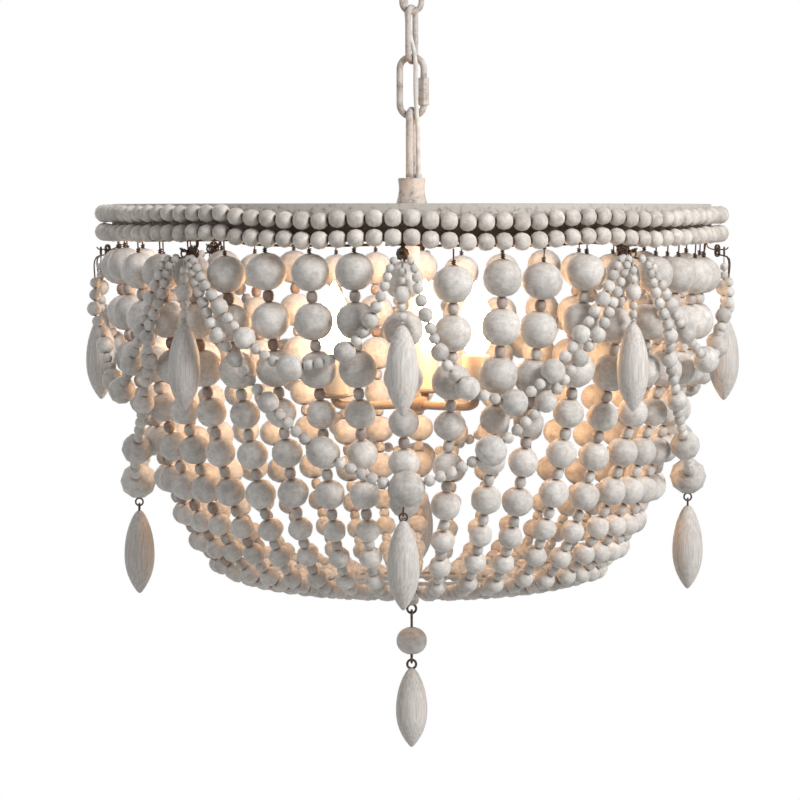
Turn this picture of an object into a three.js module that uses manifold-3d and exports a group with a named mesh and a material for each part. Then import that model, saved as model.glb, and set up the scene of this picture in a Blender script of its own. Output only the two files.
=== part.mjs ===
// A beaded basket chandelier: forty strands of turned wooden beads hang from a banded ring and
// gather at a small ring below, with bead swags, spindle drops and three candle lamps inside.
// Millimetres, +Z up. The origin is the middle of the plate's top face, against the ceiling.
// The front of the light faces -Y.
import * as THREE from 'three';
import { mergeVertices } from 'three/addons/utils/BufferGeometryUtils.js';
import Module from 'manifold-3d';

const wasm = await Module();
wasm.setup();

const deg = Math.PI / 180;
const turn = 2 * Math.PI;

// Clearances
const gap = 0.3; // between pieces that rest on or run in each other
const overrun = 2; // how far a cutting shape runs past a face

// Ceiling fitting
const plateLength = 96;
const plateWidth = 20;
const plateThickness = 3;
const plateSlotLength = 14;
const plateSlotWidth = 5;
const plateSlotSpacing = 70;
const canopyDiameter = 120;
const canopyDepth = 24;
const canopyWall = 1.6;
const stubDiameter = 9.6;
const collarDiameter = 22;
const collarHeight = 6;
const eyeHeight = 24;
const eyeWidth = 20;
const eyeWire = 5;

// Chain
const linkLength = 49.8;
const linkWidth = 20.2;
const linkWire = 4.8;
const linkPlay = 0.5; // between one link's wire and the next
const lowerLinkAngle = 68 * deg; // the cord twists this link out of square
const quickLength = 55;
const quickWidth = 24.6;
const quickWire = 5.4;
const quickGate = 3;
const sleeveLength = 22;
const sleeveAcross = 9.6;
const loopHeight = 57.6;
const loopWidth = 20;
const loopWire = 6;
const loopAngle = 75 * deg;

// Lamp cord
const cordDiameter = 3.6;

// Cap, column and ring frame
const capTopDiameter = 22;
const capWaistDiameter = 20.6;
const capFootDiameter = 25.5;
const capHeight = 26.5;
const capRise = 20.8; // the cap's top above the band's upper edge
const capBoreDepth = 6;
const frameHubDiameter = 34;
const frameHubThickness = 5;
const spokeWidth = 8;
const spokeThickness = 3;
const columnDiameter = 13;
const ringDiameter = 508; // outside the beads of the ring
const ringBeadDiameter = 13.8;
const ringBeadCount = 112;
const ringBeadWaistShare = 0.42;
const ringRowPitch = 14.8;
const upperRowDepth = 11.6;
const bandThickness = 2.4;
const bandSides = 56;
const bandHeight = 33.4;
const hookWidth = 1.4;
const hookHeight = 2;
const hookDrop = 2.6; // hook arm's top below the band's lower edge

// Strands
const strandCount = 40;
const hookCount = 8;
const patternTurn = -1.6 * deg; // the first hook stands this far round from the front
// Hooks are tied by hand, and two of them stand this far round from their eighth of the turn.
const hookShifts = [0, -1.6, 0, 0, 0, 0, 0, 3.2].map((angle) => angle * deg);
const basketDepth = 306; // band's upper edge to the strands' lower ends
const tailRingRadius = 70;
const carrierWire = 2;
const tailWire = 3;
const strandBeadDiameters = [29, 29, 29, 23, 23, 23, 18, 17, 15];
const strandPitches = [23.6, 37, 37, 34.7, 32.3, 32.5, 31, 25, 24.5];
const spacerDiameter = 8.6;
const tailBeadDiameter = 11.6;
const strandStem = 9; // bare wire above each strand's first bead
const hookStrandInset = 2.5; // a strand behind a tassel is pushed in by it

// Swags
const nearOffset = 2.7 * deg;
const deepFarOffset = 8 * deg;
const shallowFarOffset = 5.6 * deg;
const longOffset = 3 * deg;
const deepLowAngle = 20.4 * deg;
const shallowLowAngle = 20.6 * deg;
const longSag = 170;
const longSagShares = [1, 1.03, 1.03, 1.06]; // the four hang unevenly, from the front one round
const deepSagShare = 0.616; // of the long swags' sag
const shallowSagShare = 0.465;
const swagTopDepth = 43.4;
const swagWire = 1.2;
const deepSmallDiameter = 8.8;
const shallowSmallDiameter = 7.8;
const longSmallDiameter = 8.8;
const shortBeadDiameters = [14, 18, 22];
const longBeadDiameters = [12.5, 14, 17, 24, 28.5];
const smallPitchShare = 0.95; // small beads press on each other by their rounded ends

// Drops and tassels
const dropLength = 67;
const dropDiameter = 24.5;
const dropTipDiameter = 3;
const tasselBeadDiameters = [6.6, 6.6, 12.6, 6.6, 6.6];
const tasselTopDepth = 50.4; // of the first bead's centre below the band's upper edge
const tasselDropDepth = 90;
const ringWire = 1.4;
const ringWireRadius = 3; // of a wire eye, at the middle of its wire

// Lamps
const lampHubDiameter = 28;
const lampHubHeight = 12;
const lampHubDepth = 155;
const lampCount = 3;
const firstLampAngle = 52 * deg; // round from the front
const armReach = 66;
const armDiameter = 8;
const dishDiameter = 30;
const dishThickness = 3;
const dishRise = 5;
const candleDiameter = 22;
const candleHeight = 32;
const candleBoreDiameter = 14.4;
const candleBoreDepth = 15;
const bulbBaseDiameter = 12;
const bulbDiameter = 30;
const bulbHeight = 58;

// Foot
const footRingWire = 4;
const footBarWidth = 5;
const footBarThickness = 3;
const footStemDiameter = 12;
const footStemLength = 17;
const finialEyeWire = 2;
const finialEyeRadius = 3.6;
const finialBeadDiameter = 24.5;
const finialBeadHeight = 22;
const finialStem = 6.5;
const finialDropLength = 64;
const finialDropDiameter = 25.5;

const materials = {
  iron: finish('#6b5446', 0.5, 0.8),
  cream: finish('#d8ccb8', 0.6, 0.3),
  steel: finish('#9a948c', 0.4, 0.9),
  bead: finish('#cfc7bf', 0.8, 0),
  smallBead: finish('#d9d2ca', 0.8, 0),
  drop: finish('#beb4aa', 0.85, 0),
  candle: finish('#efe6d2', 0.6, 0),
  glass: finish('#fff1d6', 0.15, 0),
  cord: finish('#e9e4dc', 0.5, 0),
};

function finish(colour, roughness, metalness) {
  return new THREE.MeshStandardMaterial({ color: colour, roughness, metalness });
}

// Basic shape helpers

function vec(x, y, z) {
  return new THREE.Vector3(x, y, z);
}

function add(parent, name, geometry, material) {
  const mesh = new THREE.Mesh(geometry, material);
  mesh.name = name;
  parent.add(mesh);
  return mesh;
}

// Six times the enclosed volume; negative when the faces point inwards.
function signedVolume(geometry) {
  const p = geometry.getAttribute('position');
  const index = geometry.getIndex();
  const corner = (i) => new THREE.Vector3().fromBufferAttribute(p, index.getX(i));
  let sum = 0;
  for (let i = 0; i < index.count; i += 3) {
    sum += corner(i).dot(corner(i + 1).cross(corner(i + 2)));
  }
  return sum;
}

// A closed skin over rings of points. Alternate rings may be set half a step round.
function skin(rings, closed = false, staggered = false) {
  const sides = rings[0].length;
  const positions = rings.flat().flatMap((p) => [p.x, p.y, p.z]);
  const faces = [];
  const spans = closed ? rings.length : rings.length - 1;
  for (let i = 0; i < spans; i += 1) {
    const a = i * sides;
    const b = ((i + 1) % rings.length) * sides;
    for (let j = 0; j < sides; j += 1) {
      const k = (j + 1) % sides;
      if (staggered && i % 2 === 1) {
        faces.push(a + j, b + j, b + k, a + j, b + k, a + k);
      } else {
        faces.push(a + j, b + j, a + k, a + k, b + j, b + k);
      }
    }
  }
  if (!closed) {
    const last = (rings.length - 1) * sides;
    for (let j = 1; j < sides - 1; j += 1) {
      faces.push(0, j, j + 1, last, last + j + 1, last + j);
    }
  }
  const geometry = new THREE.BufferGeometry();
  geometry.setAttribute('position', new THREE.Float32BufferAttribute(positions, 3));
  geometry.setIndex(faces);
  if (signedVolume(geometry) < 0) {
    geometry.setIndex(faces.reverse());
  }
  return geometry;
}

// A run of rings along a route. Each station has a point, a tangent, a guide direction and a radius.
function sweep(stations, sides, options = {}) {
  const { closed = false, staggered = false } = options;
  const rings = stations.map((s, i) => {
    const across = s.guide.clone().addScaledVector(s.tangent, -s.guide.dot(s.tangent)).normalize();
    const other = s.tangent.clone().cross(across);
    const shift = staggered && i % 2 === 1 ? 0.5 : 0;
    const ring = [];
    for (let j = 0; j < sides; j += 1) {
      const a = ((j + shift) * turn) / sides;
      ring.push(s.point.clone()
        .addScaledVector(across, s.radius * Math.cos(a))
        .addScaledVector(other, s.radius * Math.sin(a)));
    }
    return ring;
  });
  return skin(rings, closed, staggered);
}

// A closed wire along a plane figure in X and Z, turned about Z.
function wireFigure(points, wire, sides, angle) {
  const count = points.length;
  const guide = vec(-Math.sin(angle), Math.cos(angle), 0);
  const placed = points.map(([u, z]) => vec(u * Math.cos(angle), u * Math.sin(angle), z));
  const stations = placed.map((point, i) => ({
    point,
    tangent: placed[(i + 1) % count].clone().sub(placed[(i + count - 1) % count]).normalize(),
    guide,
    radius: wire / 2,
  }));
  return sweep(stations, sides, { closed: true });
}

// A stadium's centre line: half-circle ends of the given radius, the whole figure this tall.
function stadium(radius, height, top, steps) {
  const points = [];
  for (let i = 0; i <= steps; i += 1) {
    const a = (Math.PI * i) / steps;
    points.push([radius * Math.cos(a), top - radius + radius * Math.sin(a)]);
  }
  for (let i = 0; i <= steps; i += 1) {
    const a = Math.PI + (Math.PI * i) / steps;
    points.push([radius * Math.cos(a), top - height + radius + radius * Math.sin(a)]);
  }
  return points;
}

function eye(radius, wire, angle) {
  const geometry = new THREE.TorusGeometry(radius, wire / 2, 4, 8);
  geometry.rotateX(90 * deg);
  geometry.rotateZ(angle);
  return geometry;
}

function rod(diameter, low, high, sides) {
  const geometry = new THREE.CylinderGeometry(diameter / 2, diameter / 2, high - low, sides);
  geometry.rotateX(90 * deg);
  geometry.translate(0, 0, (low + high) / 2);
  return geometry;
}

function lathe(profile, segments) {
  const geometry = new THREE.LatheGeometry(profile.map(([r, z]) => new THREE.Vector2(r, z)), segments);
  geometry.rotateX(90 * deg);
  return geometry;
}

function block(width, depth, low, high) {
  const geometry = new THREE.BoxGeometry(width, depth, high - low);
  geometry.translate(0, 0, (low + high) / 2);
  return geometry;
}

// Joins and cuts

function solidOf(geometry) {
  const bare = geometry.clone();
  bare.deleteAttribute('normal');
  bare.deleteAttribute('uv');
  const merged = mergeVertices(bare, gap / 1000);
  return new wasm.Manifold(new wasm.Mesh({
    numProp: 3,
    vertProperties: new Float32Array(merged.getAttribute('position').array),
    triVerts: new Uint32Array(merged.getIndex().array),
  }));
}

function geometryOf(solid) {
  const mesh = solid.getMesh();
  const geometry = new THREE.BufferGeometry();
  geometry.setAttribute('position', new THREE.BufferAttribute(mesh.vertProperties, 3));
  geometry.setIndex(new THREE.BufferAttribute(mesh.triVerts, 1));
  return geometry;
}

function join(...geometries) {
  return geometryOf(geometries.map(solidOf).reduce((a, b) => a.add(b)));
}

function cut(geometry, ...tools) {
  return geometryOf(tools.map(solidOf).reduce((a, b) => a.subtract(b), solidOf(geometry)));
}

// Heights down the hanging stack, each worked out from the one above
const eyeBottom = -(canopyDepth + collarHeight + eyeHeight);
const upperLinkTop = eyeBottom + eyeWire + linkWire + linkPlay;
const upperLinkBottom = upperLinkTop - linkLength;
const lowerLinkTop = upperLinkBottom + 2 * linkWire + linkPlay;
const lowerLinkBottom = lowerLinkTop - linkLength;
const quickTop = lowerLinkBottom + linkWire + quickWire + linkPlay;
const quickBottom = quickTop - quickLength;
const loopTop = quickBottom + quickWire + loopWire + linkPlay;
const capTop = loopTop - loopHeight;
const bandTop = capTop - capRise;

const fixture = new THREE.Group();
fixture.position.z = bandTop;
fixture.rotation.z = patternTurn;

const light = new THREE.Group();
light.add(fixture);

// The lamp cord's route from the canopy to the cap, chosen point by point
const cordRoute = [
  [-5.5, 13.5, -14], [-5.5, 13.3, -22], [-5.5, 12.4, -32], [-5.4, 10, -42], [-5.3, 7.8, -52],
  [-5, 6.6, -63], [-4.8, 6.2, -75], [-4.5, 6.1, -85], [-4, 5.6, -93], [-2.9, 4, -101],
  [-1.4, 1.8, -108], [-0.1, -0.5, -114], [1.3, -3, -120], [2.4, -5.2, -125.5], [3, -6.2, -132],
  [3, -6.4, -142], [3, -6.4, -152], [3.5, -6.4, -164], [4.3, -6.1, -176], [4.9, -5.7, -186],
  [5.1, -4.8, -198], [5.3, -3.8, -210], [5.3, -3, -220], [5.3, -2.8, -228],
].map(([x, y, z]) => vec(x, y, z));
const cordCurve = new THREE.CatmullRomCurve3(cordRoute, false, 'centripetal');
const cordTop = cordRoute[0];
const cordFoot = cordRoute[cordRoute.length - 1];

// Ceiling fitting: a slotted plate, a domed canopy and the screwed eye that holds it up

function mountingPlate() {
  const outline = new THREE.Shape();
  const halfLength = plateLength / 2;
  const halfWidth = plateWidth / 2;
  outline.moveTo(-halfLength + halfWidth, -halfWidth);
  outline.absarc(halfLength - halfWidth, 0, halfWidth, -90 * deg, 90 * deg);
  outline.absarc(-halfLength + halfWidth, 0, halfWidth, 90 * deg, 270 * deg);
  for (const side of [-1, 1]) {
    const slot = new THREE.Path();
    const middle = (side * plateSlotSpacing) / 2;
    const reach = (plateSlotLength - plateSlotWidth) / 2;
    slot.absarc(middle + reach, 0, plateSlotWidth / 2, -90 * deg, 90 * deg);
    slot.absarc(middle - reach, 0, plateSlotWidth / 2, 90 * deg, 270 * deg);
    outline.holes.push(slot);
  }
  const geometry = new THREE.ExtrudeGeometry(outline, {
    depth: plateThickness, bevelEnabled: false, curveSegments: 5,
  });
  geometry.translate(0, 0, -plateThickness);
  return geometry;
}

function canopy() {
  const steps = 4;
  const holeRadius = stubDiameter / 2 + gap;
  const arc = (radius, depth, share) => [
    holeRadius + (radius - holeRadius) * Math.cos(90 * deg * share),
    -depth * Math.sin(90 * deg * share),
  ];
  const profile = [];
  for (let i = 0; i <= steps; i += 1) {
    profile.push(arc(canopyDiameter / 2, canopyDepth, i / steps));
  }
  for (let i = steps; i >= 0; i -= 1) {
    profile.push(arc(canopyDiameter / 2 - canopyWall, canopyDepth - canopyWall, i / steps));
  }
  profile.push(profile[0]);
  const shell = lathe(profile.reverse(), 20);
  const cordHole = rod(cordDiameter + 4 * gap, -canopyDepth - overrun, -canopyDepth / 2, 8);
  cordHole.translate(cordRoute[1].x, cordRoute[1].y, 0);
  return cut(shell, cordHole);
}

function canopyLoop() {
  const stub = rod(stubDiameter, -canopyDepth - collarHeight / 2, -plateThickness - gap, 10);
  const collarTop = -canopyDepth - gap;
  const collar = rod(collarDiameter, -canopyDepth - collarHeight, collarTop, 12);
  const ringTop = -canopyDepth - collarHeight + eyeWire / 4;
  const radius = (eyeWidth - eyeWire) / 2;
  const figure = stadium(radius, ringTop - eyeBottom - eyeWire / 2, ringTop, 5);
  return join(stub, collar, wireFigure(figure, eyeWire, 6, 90 * deg));
}

add(light, 'mounting_plate', mountingPlate(), materials.steel);
add(light, 'ceiling_canopy', canopy(), materials.cream);
add(light, 'canopy_loop', canopyLoop(), materials.iron);

// Chain: two links, a quick link with its screw sleeve, and the hanging loop

function chainLink(top, angle) {
  const radius = (linkWidth - linkWire) / 2;
  const figure = stadium(radius, linkLength - linkWire, top - linkWire / 2, 5);
  return wireFigure(figure, linkWire, 6, angle);
}

add(light, 'upper_link', chainLink(upperLinkTop, 0), materials.iron);
add(light, 'lower_link', chainLink(lowerLinkTop, lowerLinkAngle), materials.iron);

const quickRadius = (quickWidth - quickWire) / 2;
const sleeveLow = quickBottom + quickWire / 2 + quickRadius + gap;
const sleeveHigh = sleeveLow + sleeveLength;
const gateLow = sleeveLow + quickGate;

// The quick link's wire starts and ends at the gate, inside the sleeve.
function quickLink() {
  const top = quickTop - quickWire / 2;
  const low = quickBottom + quickWire / 2;
  const steps = 5;
  const points = [[quickRadius, gateLow + quickGate]];
  for (let i = 0; i <= steps; i += 1) {
    const a = (Math.PI * i) / steps;
    points.push([quickRadius * Math.cos(a), top - quickRadius + quickRadius * Math.sin(a)]);
  }
  for (let i = 0; i <= steps; i += 1) {
    const a = Math.PI + (Math.PI * i) / steps;
    points.push([quickRadius * Math.cos(a), low + quickRadius + quickRadius * Math.sin(a)]);
  }
  points.push([quickRadius, gateLow]);
  const placed = points.map(([x, z]) => vec(x, 0, z));
  const stations = placed.map((point, i) => {
    const next = placed[Math.min(i + 1, placed.length - 1)];
    const before = placed[Math.max(i - 1, 0)];
    const atEnd = i === 0 || i === placed.length - 1;
    const tangent = atEnd ? vec(0, 0, 1) : next.clone().sub(before).normalize();
    return { point, tangent, guide: vec(0, 1, 0), radius: quickWire / 2 };
  });
  return sweep(stations, 6);
}

function sleeve() {
  const nut = rod(sleeveAcross, sleeveLow, sleeveHigh, 6);
  const bore = rod(quickWire + 4 * gap, sleeveLow - overrun, sleeveHigh + overrun, 8);
  const geometry = cut(nut, bore);
  geometry.translate(quickRadius, 0, 0);
  return geometry;
}

function hangingLoop() {
  const radius = (loopWidth - loopWire) / 2;
  const top = loopTop - loopWire / 2;
  const steps = 6;
  const points = [[radius, capTop + gap]];
  for (let i = 0; i <= steps; i += 1) {
    const a = (Math.PI * i) / steps;
    points.push([radius * Math.cos(a), top - radius + radius * Math.sin(a)]);
  }
  points.push([-radius, capTop + gap]);
  const placed = points.map(([u, z]) => vec(u * Math.cos(loopAngle), u * Math.sin(loopAngle), z));
  const stations = placed.map((point, i) => {
    const next = placed[Math.min(i + 1, placed.length - 1)];
    const before = placed[Math.max(i - 1, 0)];
    const guide = vec(-Math.sin(loopAngle), Math.cos(loopAngle), 0);
    return { point, tangent: next.clone().sub(before).normalize(), guide, radius: loopWire / 2 };
  });
  return sweep(stations, 6);
}

add(light, 'quick_link', quickLink(), materials.iron);
add(light, 'quick_link_sleeve', sleeve(), materials.iron);
add(light, 'hanging_loop', hangingLoop(), materials.iron);

// The cord is followed in four stretches, one over each swinging contact of the chain

const cordCuts = [
  cordTop.z,
  (upperLinkTop + upperLinkBottom) / 2,
  (lowerLinkTop + lowerLinkBottom) / 2,
  (quickTop + quickBottom) / 2,
  cordFoot.z,
];

// The curve's parameter where it passes a height; the route only ever goes down.
function cordShareAt(z) {
  let low = 0;
  let high = 1;
  for (let i = 0; i < 40; i += 1) {
    const middle = (low + high) / 2;
    if (cordCurve.getPoint(middle).z > z) {
      low = middle;
    } else {
      high = middle;
    }
  }
  return (low + high) / 2;
}

class CordStretch extends THREE.Curve {
  constructor(from, to) {
    super();
    this.from = from;
    this.to = to;
  }

  getPoint(t, target = new THREE.Vector3()) {
    return cordCurve.getPoint(this.from + (this.to - this.from) * t, target);
  }
}

for (let i = 0; i < cordCuts.length - 1; i += 1) {
  const from = cordShareAt(cordCuts[i] - (i > 0 ? gap / 2 : 0));
  const to = cordShareAt(cordCuts[i + 1] + (i < cordCuts.length - 2 ? gap / 2 : 0));
  const stretch = new CordStretch(from, to);
  const section = new THREE.Shape();
  section.absarc(0, 0, cordDiameter / 2, 0, turn);
  const steps = Math.round(stretch.getLength() / (3 * cordDiameter));
  const geometry = new THREE.ExtrudeGeometry(section, {
    steps, extrudePath: stretch, curveSegments: 8,
  });
  add(light, `lamp_cord_${i + 1}`, geometry, materials.cord);
}

// Cap on top of the ring frame, with a bore for the cord

function cap() {
  const profile = [
    [0, -capHeight], [capFootDiameter / 2, -capHeight], [capFootDiameter / 2, -capRise],
    [capWaistDiameter / 2, -capRise / 2], [capTopDiameter / 2, -capRise / 8], [capTopDiameter / 2, 0],
    [0, 0],
  ];
  const body = lathe(profile, 14);
  const bore = rod(cordDiameter + 4 * gap, -capBoreDepth, overrun, 8);
  bore.translate(cordFoot.x, cordFoot.y, 0);
  const geometry = cut(body, bore);
  geometry.translate(0, 0, capTop);
  return geometry;
}

add(light, 'top_cap', cap(), materials.cream);

// Below here every height is measured down from the band's upper edge

const bandOuter = ringDiameter / 2 - ringBeadDiameter - gap;
const bandInner = bandOuter - bandThickness;
const hubTop = -(capHeight - capRise) - gap;
const hubBottom = hubTop - frameHubThickness;
const hookTop = -bandHeight - hookDrop;
const hookStep = turn / hookCount;
const strandRadius = (ringDiameter / 2) * 0.923;
const tasselRadius = strandRadius - hookStrandInset
  + (strandBeadDiameters[0] + tasselBeadDiameters[0]) / 2 + 2 * gap;

// How far round hook i stands; a count past the last starts again from the first.
function hookAngle(i) {
  return i * hookStep + hookShifts[i % hookCount];
}

// The ring frame: a band on four spokes, with a hook for each tassel under its edge
function ringFrame() {
  const profile = [
    [bandInner, 0], [bandInner, -bandHeight], [bandOuter, -bandHeight], [bandOuter, 0], [bandInner, 0],
  ];
  const parts = [lathe(profile, bandSides), rod(frameHubDiameter, hubBottom, hubTop, 12)];
  const bandMiddle = (bandInner + bandOuter) / 2;
  for (let i = 0; i < 2; i += 1) {
    const bar = block(2 * bandMiddle, spokeWidth, hubBottom, hubBottom + spokeThickness);
    bar.rotateZ(((i + 0.25) * turn) / 4);
    parts.push(bar);
  }
  for (let i = 0; i < hookCount; i += 1) {
    const reach = tasselRadius + ringWireRadius - bandMiddle;
    const arm = block(hookWidth, reach, hookTop - hookHeight, hookTop);
    arm.translate(0, -bandMiddle - reach / 2, 0);
    const post = block(hookWidth, bandThickness, hookTop - hookHeight, -bandHeight + bandThickness);
    post.translate(0, -bandMiddle, 0);
    const hook = join(arm, post);
    hook.rotateZ(hookAngle(i));
    parts.push(hook);
  }
  return join(...parts);
}

add(fixture, 'ring_frame', ringFrame(), materials.cream);

function beadRow(depth) {
  const radius = ringDiameter / 2 - ringBeadDiameter / 2;
  const stations = [];
  for (let i = 0; i < 2 * ringBeadCount; i += 1) {
    const a = ((i + 1) * turn) / (2 * ringBeadCount); // seams stand at the eighths of the turn
    const outward = vec(Math.sin(a), -Math.cos(a), 0);
    const beadRadius = (ringBeadDiameter / 2) * (i % 2 ? ringBeadWaistShare : 1);
    stations.push({
      point: outward.clone().multiplyScalar(radius).setZ(-depth),
      tangent: vec(Math.cos(a), Math.sin(a), 0),
      guide: outward,
      radius: beadRadius,
    });
  }
  return sweep(stations, 4, { closed: true, staggered: true });
}

add(fixture, 'upper_bead_row', beadRow(upperRowDepth), materials.smallBead);
add(fixture, 'lower_bead_row', beadRow(upperRowDepth + ringRowPitch), materials.smallBead);

// Strands: the basket's outline as shares of the ring's radius and the basket's depth

const outlineRadiusShares = [0.923, 0.905, 0.877, 0.845, 0.808, 0.768, 0.712, 0.658, 0.59, 0.46];
const outlineDepthShares = [0.1745, 0.287, 0.41, 0.52, 0.6215, 0.722, 0.825, 0.897, 0.955, 0.987];
const carrierRadius = bandInner * Math.cos(Math.PI / bandSides) - gap - carrierWire / 2;
const carrierDepth = bandHeight - carrierWire;

function strandCurve(inset) {
  const points = [vec(0, -carrierRadius, -carrierDepth)];
  outlineRadiusShares.forEach((share, i) => {
    const fade = inset * Math.max(0, 1 - outlineDepthShares[i]);
    points.push(vec(0, -share * (ringDiameter / 2) + fade, -outlineDepthShares[i] * basketDepth));
  });
  points.push(vec(0, -tailRingRadius, -basketDepth));
  return new THREE.CatmullRomCurve3(points, false, 'centripetal');
}

const strandPitch = turn / strandCount;
const strandsPerGroup = strandCount / hookCount;

function strand(inset) {
  const curve = strandCurve(inset);
  const length = curve.getLength();
  const runs = [{ at: 0, radius: carrierWire / 2 }, { at: strandStem, radius: carrierWire / 2 }];
  let at = 0;
  strandBeadDiameters.forEach((diameter, i) => {
    at += strandPitches[i];
    const single = diameter < strandBeadDiameters[0];
    const half = diameter / 2;
    if (i > 0) {
      const spacer = at - strandPitches[i] / 2 + (strandBeadDiameters[i - 1] - diameter) / 4;
      runs.push({ at: spacer, radius: spacerDiameter / 2 });
    }
    if (single) {
      runs.push({ at, radius: half });
    } else {
      runs.push({ at: at - half * 0.4, radius: half }, { at: at + half * 0.4, radius: half });
    }
  });
  const tailStart = at + strandBeadDiameters.at(-1) / 2 + tailWire;
  const tailEndRadius = tailRingRadius * Math.sin(strandPitch / 2) - gap;
  runs.push({ at: tailStart, radius: tailBeadDiameter / 2 });
  runs.push({ at: length - tailWire, radius: tailEndRadius });
  runs.push({ at: length, radius: tailWire / 3 });
  const stations = runs.map((run) => ({
    point: curve.getPointAt(run.at / length),
    tangent: curve.getTangentAt(run.at / length),
    guide: vec(1, 0, 0),
    radius: run.radius,
  }));
  return sweep(stations, 4, { staggered: true });
}

// An arc of wire that carries one group's strands
function carrier(radius, depth, wire, from, to, steps) {
  const stations = [];
  for (let i = 0; i <= steps; i += 1) {
    const a = from + ((to - from) * i) / steps;
    stations.push({
      point: vec(radius * Math.sin(a), -radius * Math.cos(a), -depth),
      tangent: vec(Math.cos(a), Math.sin(a), 0),
      guide: vec(0, 0, 1),
      radius: wire / 2,
    });
  }
  return sweep(stations, 4);
}

for (let g = 0; g < hookCount; g += 1) {
  const last = (strandsPerGroup - 1) * strandPitch;
  const margin = strandPitch * 0.35;
  const parts = [
    carrier(carrierRadius, carrierDepth, carrierWire, -margin, last + margin, 5),
    carrier(tailRingRadius, basketDepth, tailWire, -margin, last + margin, 5),
  ];
  for (let i = 0; i < strandsPerGroup; i += 1) {
    const geometry = strand(i === 0 ? hookStrandInset : 0);
    geometry.rotateZ(i * strandPitch);
    parts.push(geometry);
  }
  const mesh = add(fixture, `strand_group_${g + 1}`, join(...parts), materials.bead);
  mesh.rotation.z = g * hookStep;
}

// Swags: strings of beads that hang from the hooks and lie on the strands

const plainStrand = strandCurve(0);
const strandSamples = plainStrand.getPoints(80);

// How far out the strands' beads reach at a depth
function strandReach(depth) {
  const i = Math.max(1, strandSamples.findIndex((p) => -p.z >= depth));
  const a = strandSamples[i - 1];
  const b = strandSamples[i];
  const centre = -THREE.MathUtils.mapLinear(depth, -a.z, -b.z, a.y, b.y);
  const upper = outlineDepthShares[2] * basketDepth;
  const lower = outlineDepthShares[3] * basketDepth;
  const share = THREE.MathUtils.clamp((depth - upper) / (lower - upper), 0, 1);
  return centre + THREE.MathUtils.lerp(strandBeadDiameters[2], strandBeadDiameters[3], share) / 2;
}

// Height above a swag's low point, as a share of its sag; u runs from 0 there to 1 at the top.
function nearRiseShare(u) {
  return 0.2 * u + 0.8 * u ** 4;
}

function farRiseShare(u) {
  return 0.4 * u + 0.6 * u ** 2.5;
}

function longRiseShare(u) {
  return 0.3 * u + 0.7 * u ** 3;
}

// A swag's route round the basket, from its first wire end at the band to its last
function swagRoute(from, low, to, sag, rises, smallDiameter, largestDiameter) {
  const topReach = strandReach(outlineDepthShares[0] * basketDepth);
  const place = (angle, radius, depth) => vec(radius * Math.sin(angle), -radius * Math.cos(angle), -depth);
  const seat = bandOuter + gap + swagWire / 2;
  const points = [];
  const steps = 14;
  for (let i = -steps; i <= steps; i += 1) {
    const u = Math.abs(i) / steps;
    const angle = i < 0 ? low + (from - low) * u : low + (to - low) * u;
    const rise = i < 0 ? rises[0](u) : rises[1](u);
    const depth = swagTopDepth + sag * (1 - rise);
    const lift = THREE.MathUtils.lerp(largestDiameter, smallDiameter, u ** 4) / 2 + gap;
    const reach = u > 0.8 ? Math.max(topReach, strandReach(depth)) : strandReach(depth);
    points.push(place(angle, reach + lift, depth));
  }
  const turnDepth = (swagTopDepth + bandHeight) / 2;
  const turnRadius = (seat + topReach + smallDiameter / 2) / 2;
  points.unshift(place(from, seat, bandHeight - swagWire), place(from, turnRadius, turnDepth - swagWire));
  points.push(place(to, turnRadius, turnDepth - swagWire), place(to, seat, bandHeight - swagWire));
  return new THREE.CatmullRomCurve3(points, false, 'centripetal');
}

// Beads on a string: wire at both ends, runs of small beads and single large ones in mirror order
function beadString(curve, smallDiameter, largeDiameters, smallRuns) {
  const length = curve.getLength();
  const smallPitch = smallDiameter * smallPitchShare;
  const half = [];
  smallRuns.forEach((count, i) => {
    half.push({ small: count });
    if (i < largeDiameters.length) {
      half.push({ diameter: largeDiameters[i] });
    }
  });
  const order = [...half, ...half.slice(0, -1).reverse()];
  const used = order.reduce((sum, b) => sum + (b.small ? b.small * smallPitch : b.diameter), 0);
  const lead = swagTopDepth - bandHeight + swagWire * 2;
  const stretch = (length - 2 * lead) / used;
  const runs = [{ at: 0, radius: swagWire / 2 }, { at: lead - swagWire, radius: swagWire / 2 }];
  let at = lead;
  for (const item of order) {
    if (item.small) {
      const span = item.small * smallPitch * stretch;
      const rings = item.small > 2 ? Math.ceil(item.small / 2) : 1;
      for (let i = 0; i < rings; i += 1) {
        runs.push({ at: at + (span * (i + 0.5)) / rings, radius: smallDiameter / 2 });
      }
      at += span;
    } else {
      const span = item.diameter * stretch;
      const offset = item.diameter * 0.2;
      runs.push({ at: at + span / 2 - offset, radius: item.diameter / 2 });
      runs.push({ at: at + span / 2 + offset, radius: item.diameter / 2 });
      at += span;
    }
  }
  runs.push({ at: length - lead + swagWire, radius: swagWire / 2 }, { at: length, radius: swagWire / 2 });
  const stations = runs.map((run) => {
    const point = curve.getPointAt(run.at / length);
    return {
      point,
      tangent: curve.getTangentAt(run.at / length),
      guide: vec(point.x, point.y, 0).normalize(),
      radius: run.radius,
    };
  });
  return sweep(stations, 4, { staggered: true });
}

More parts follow.
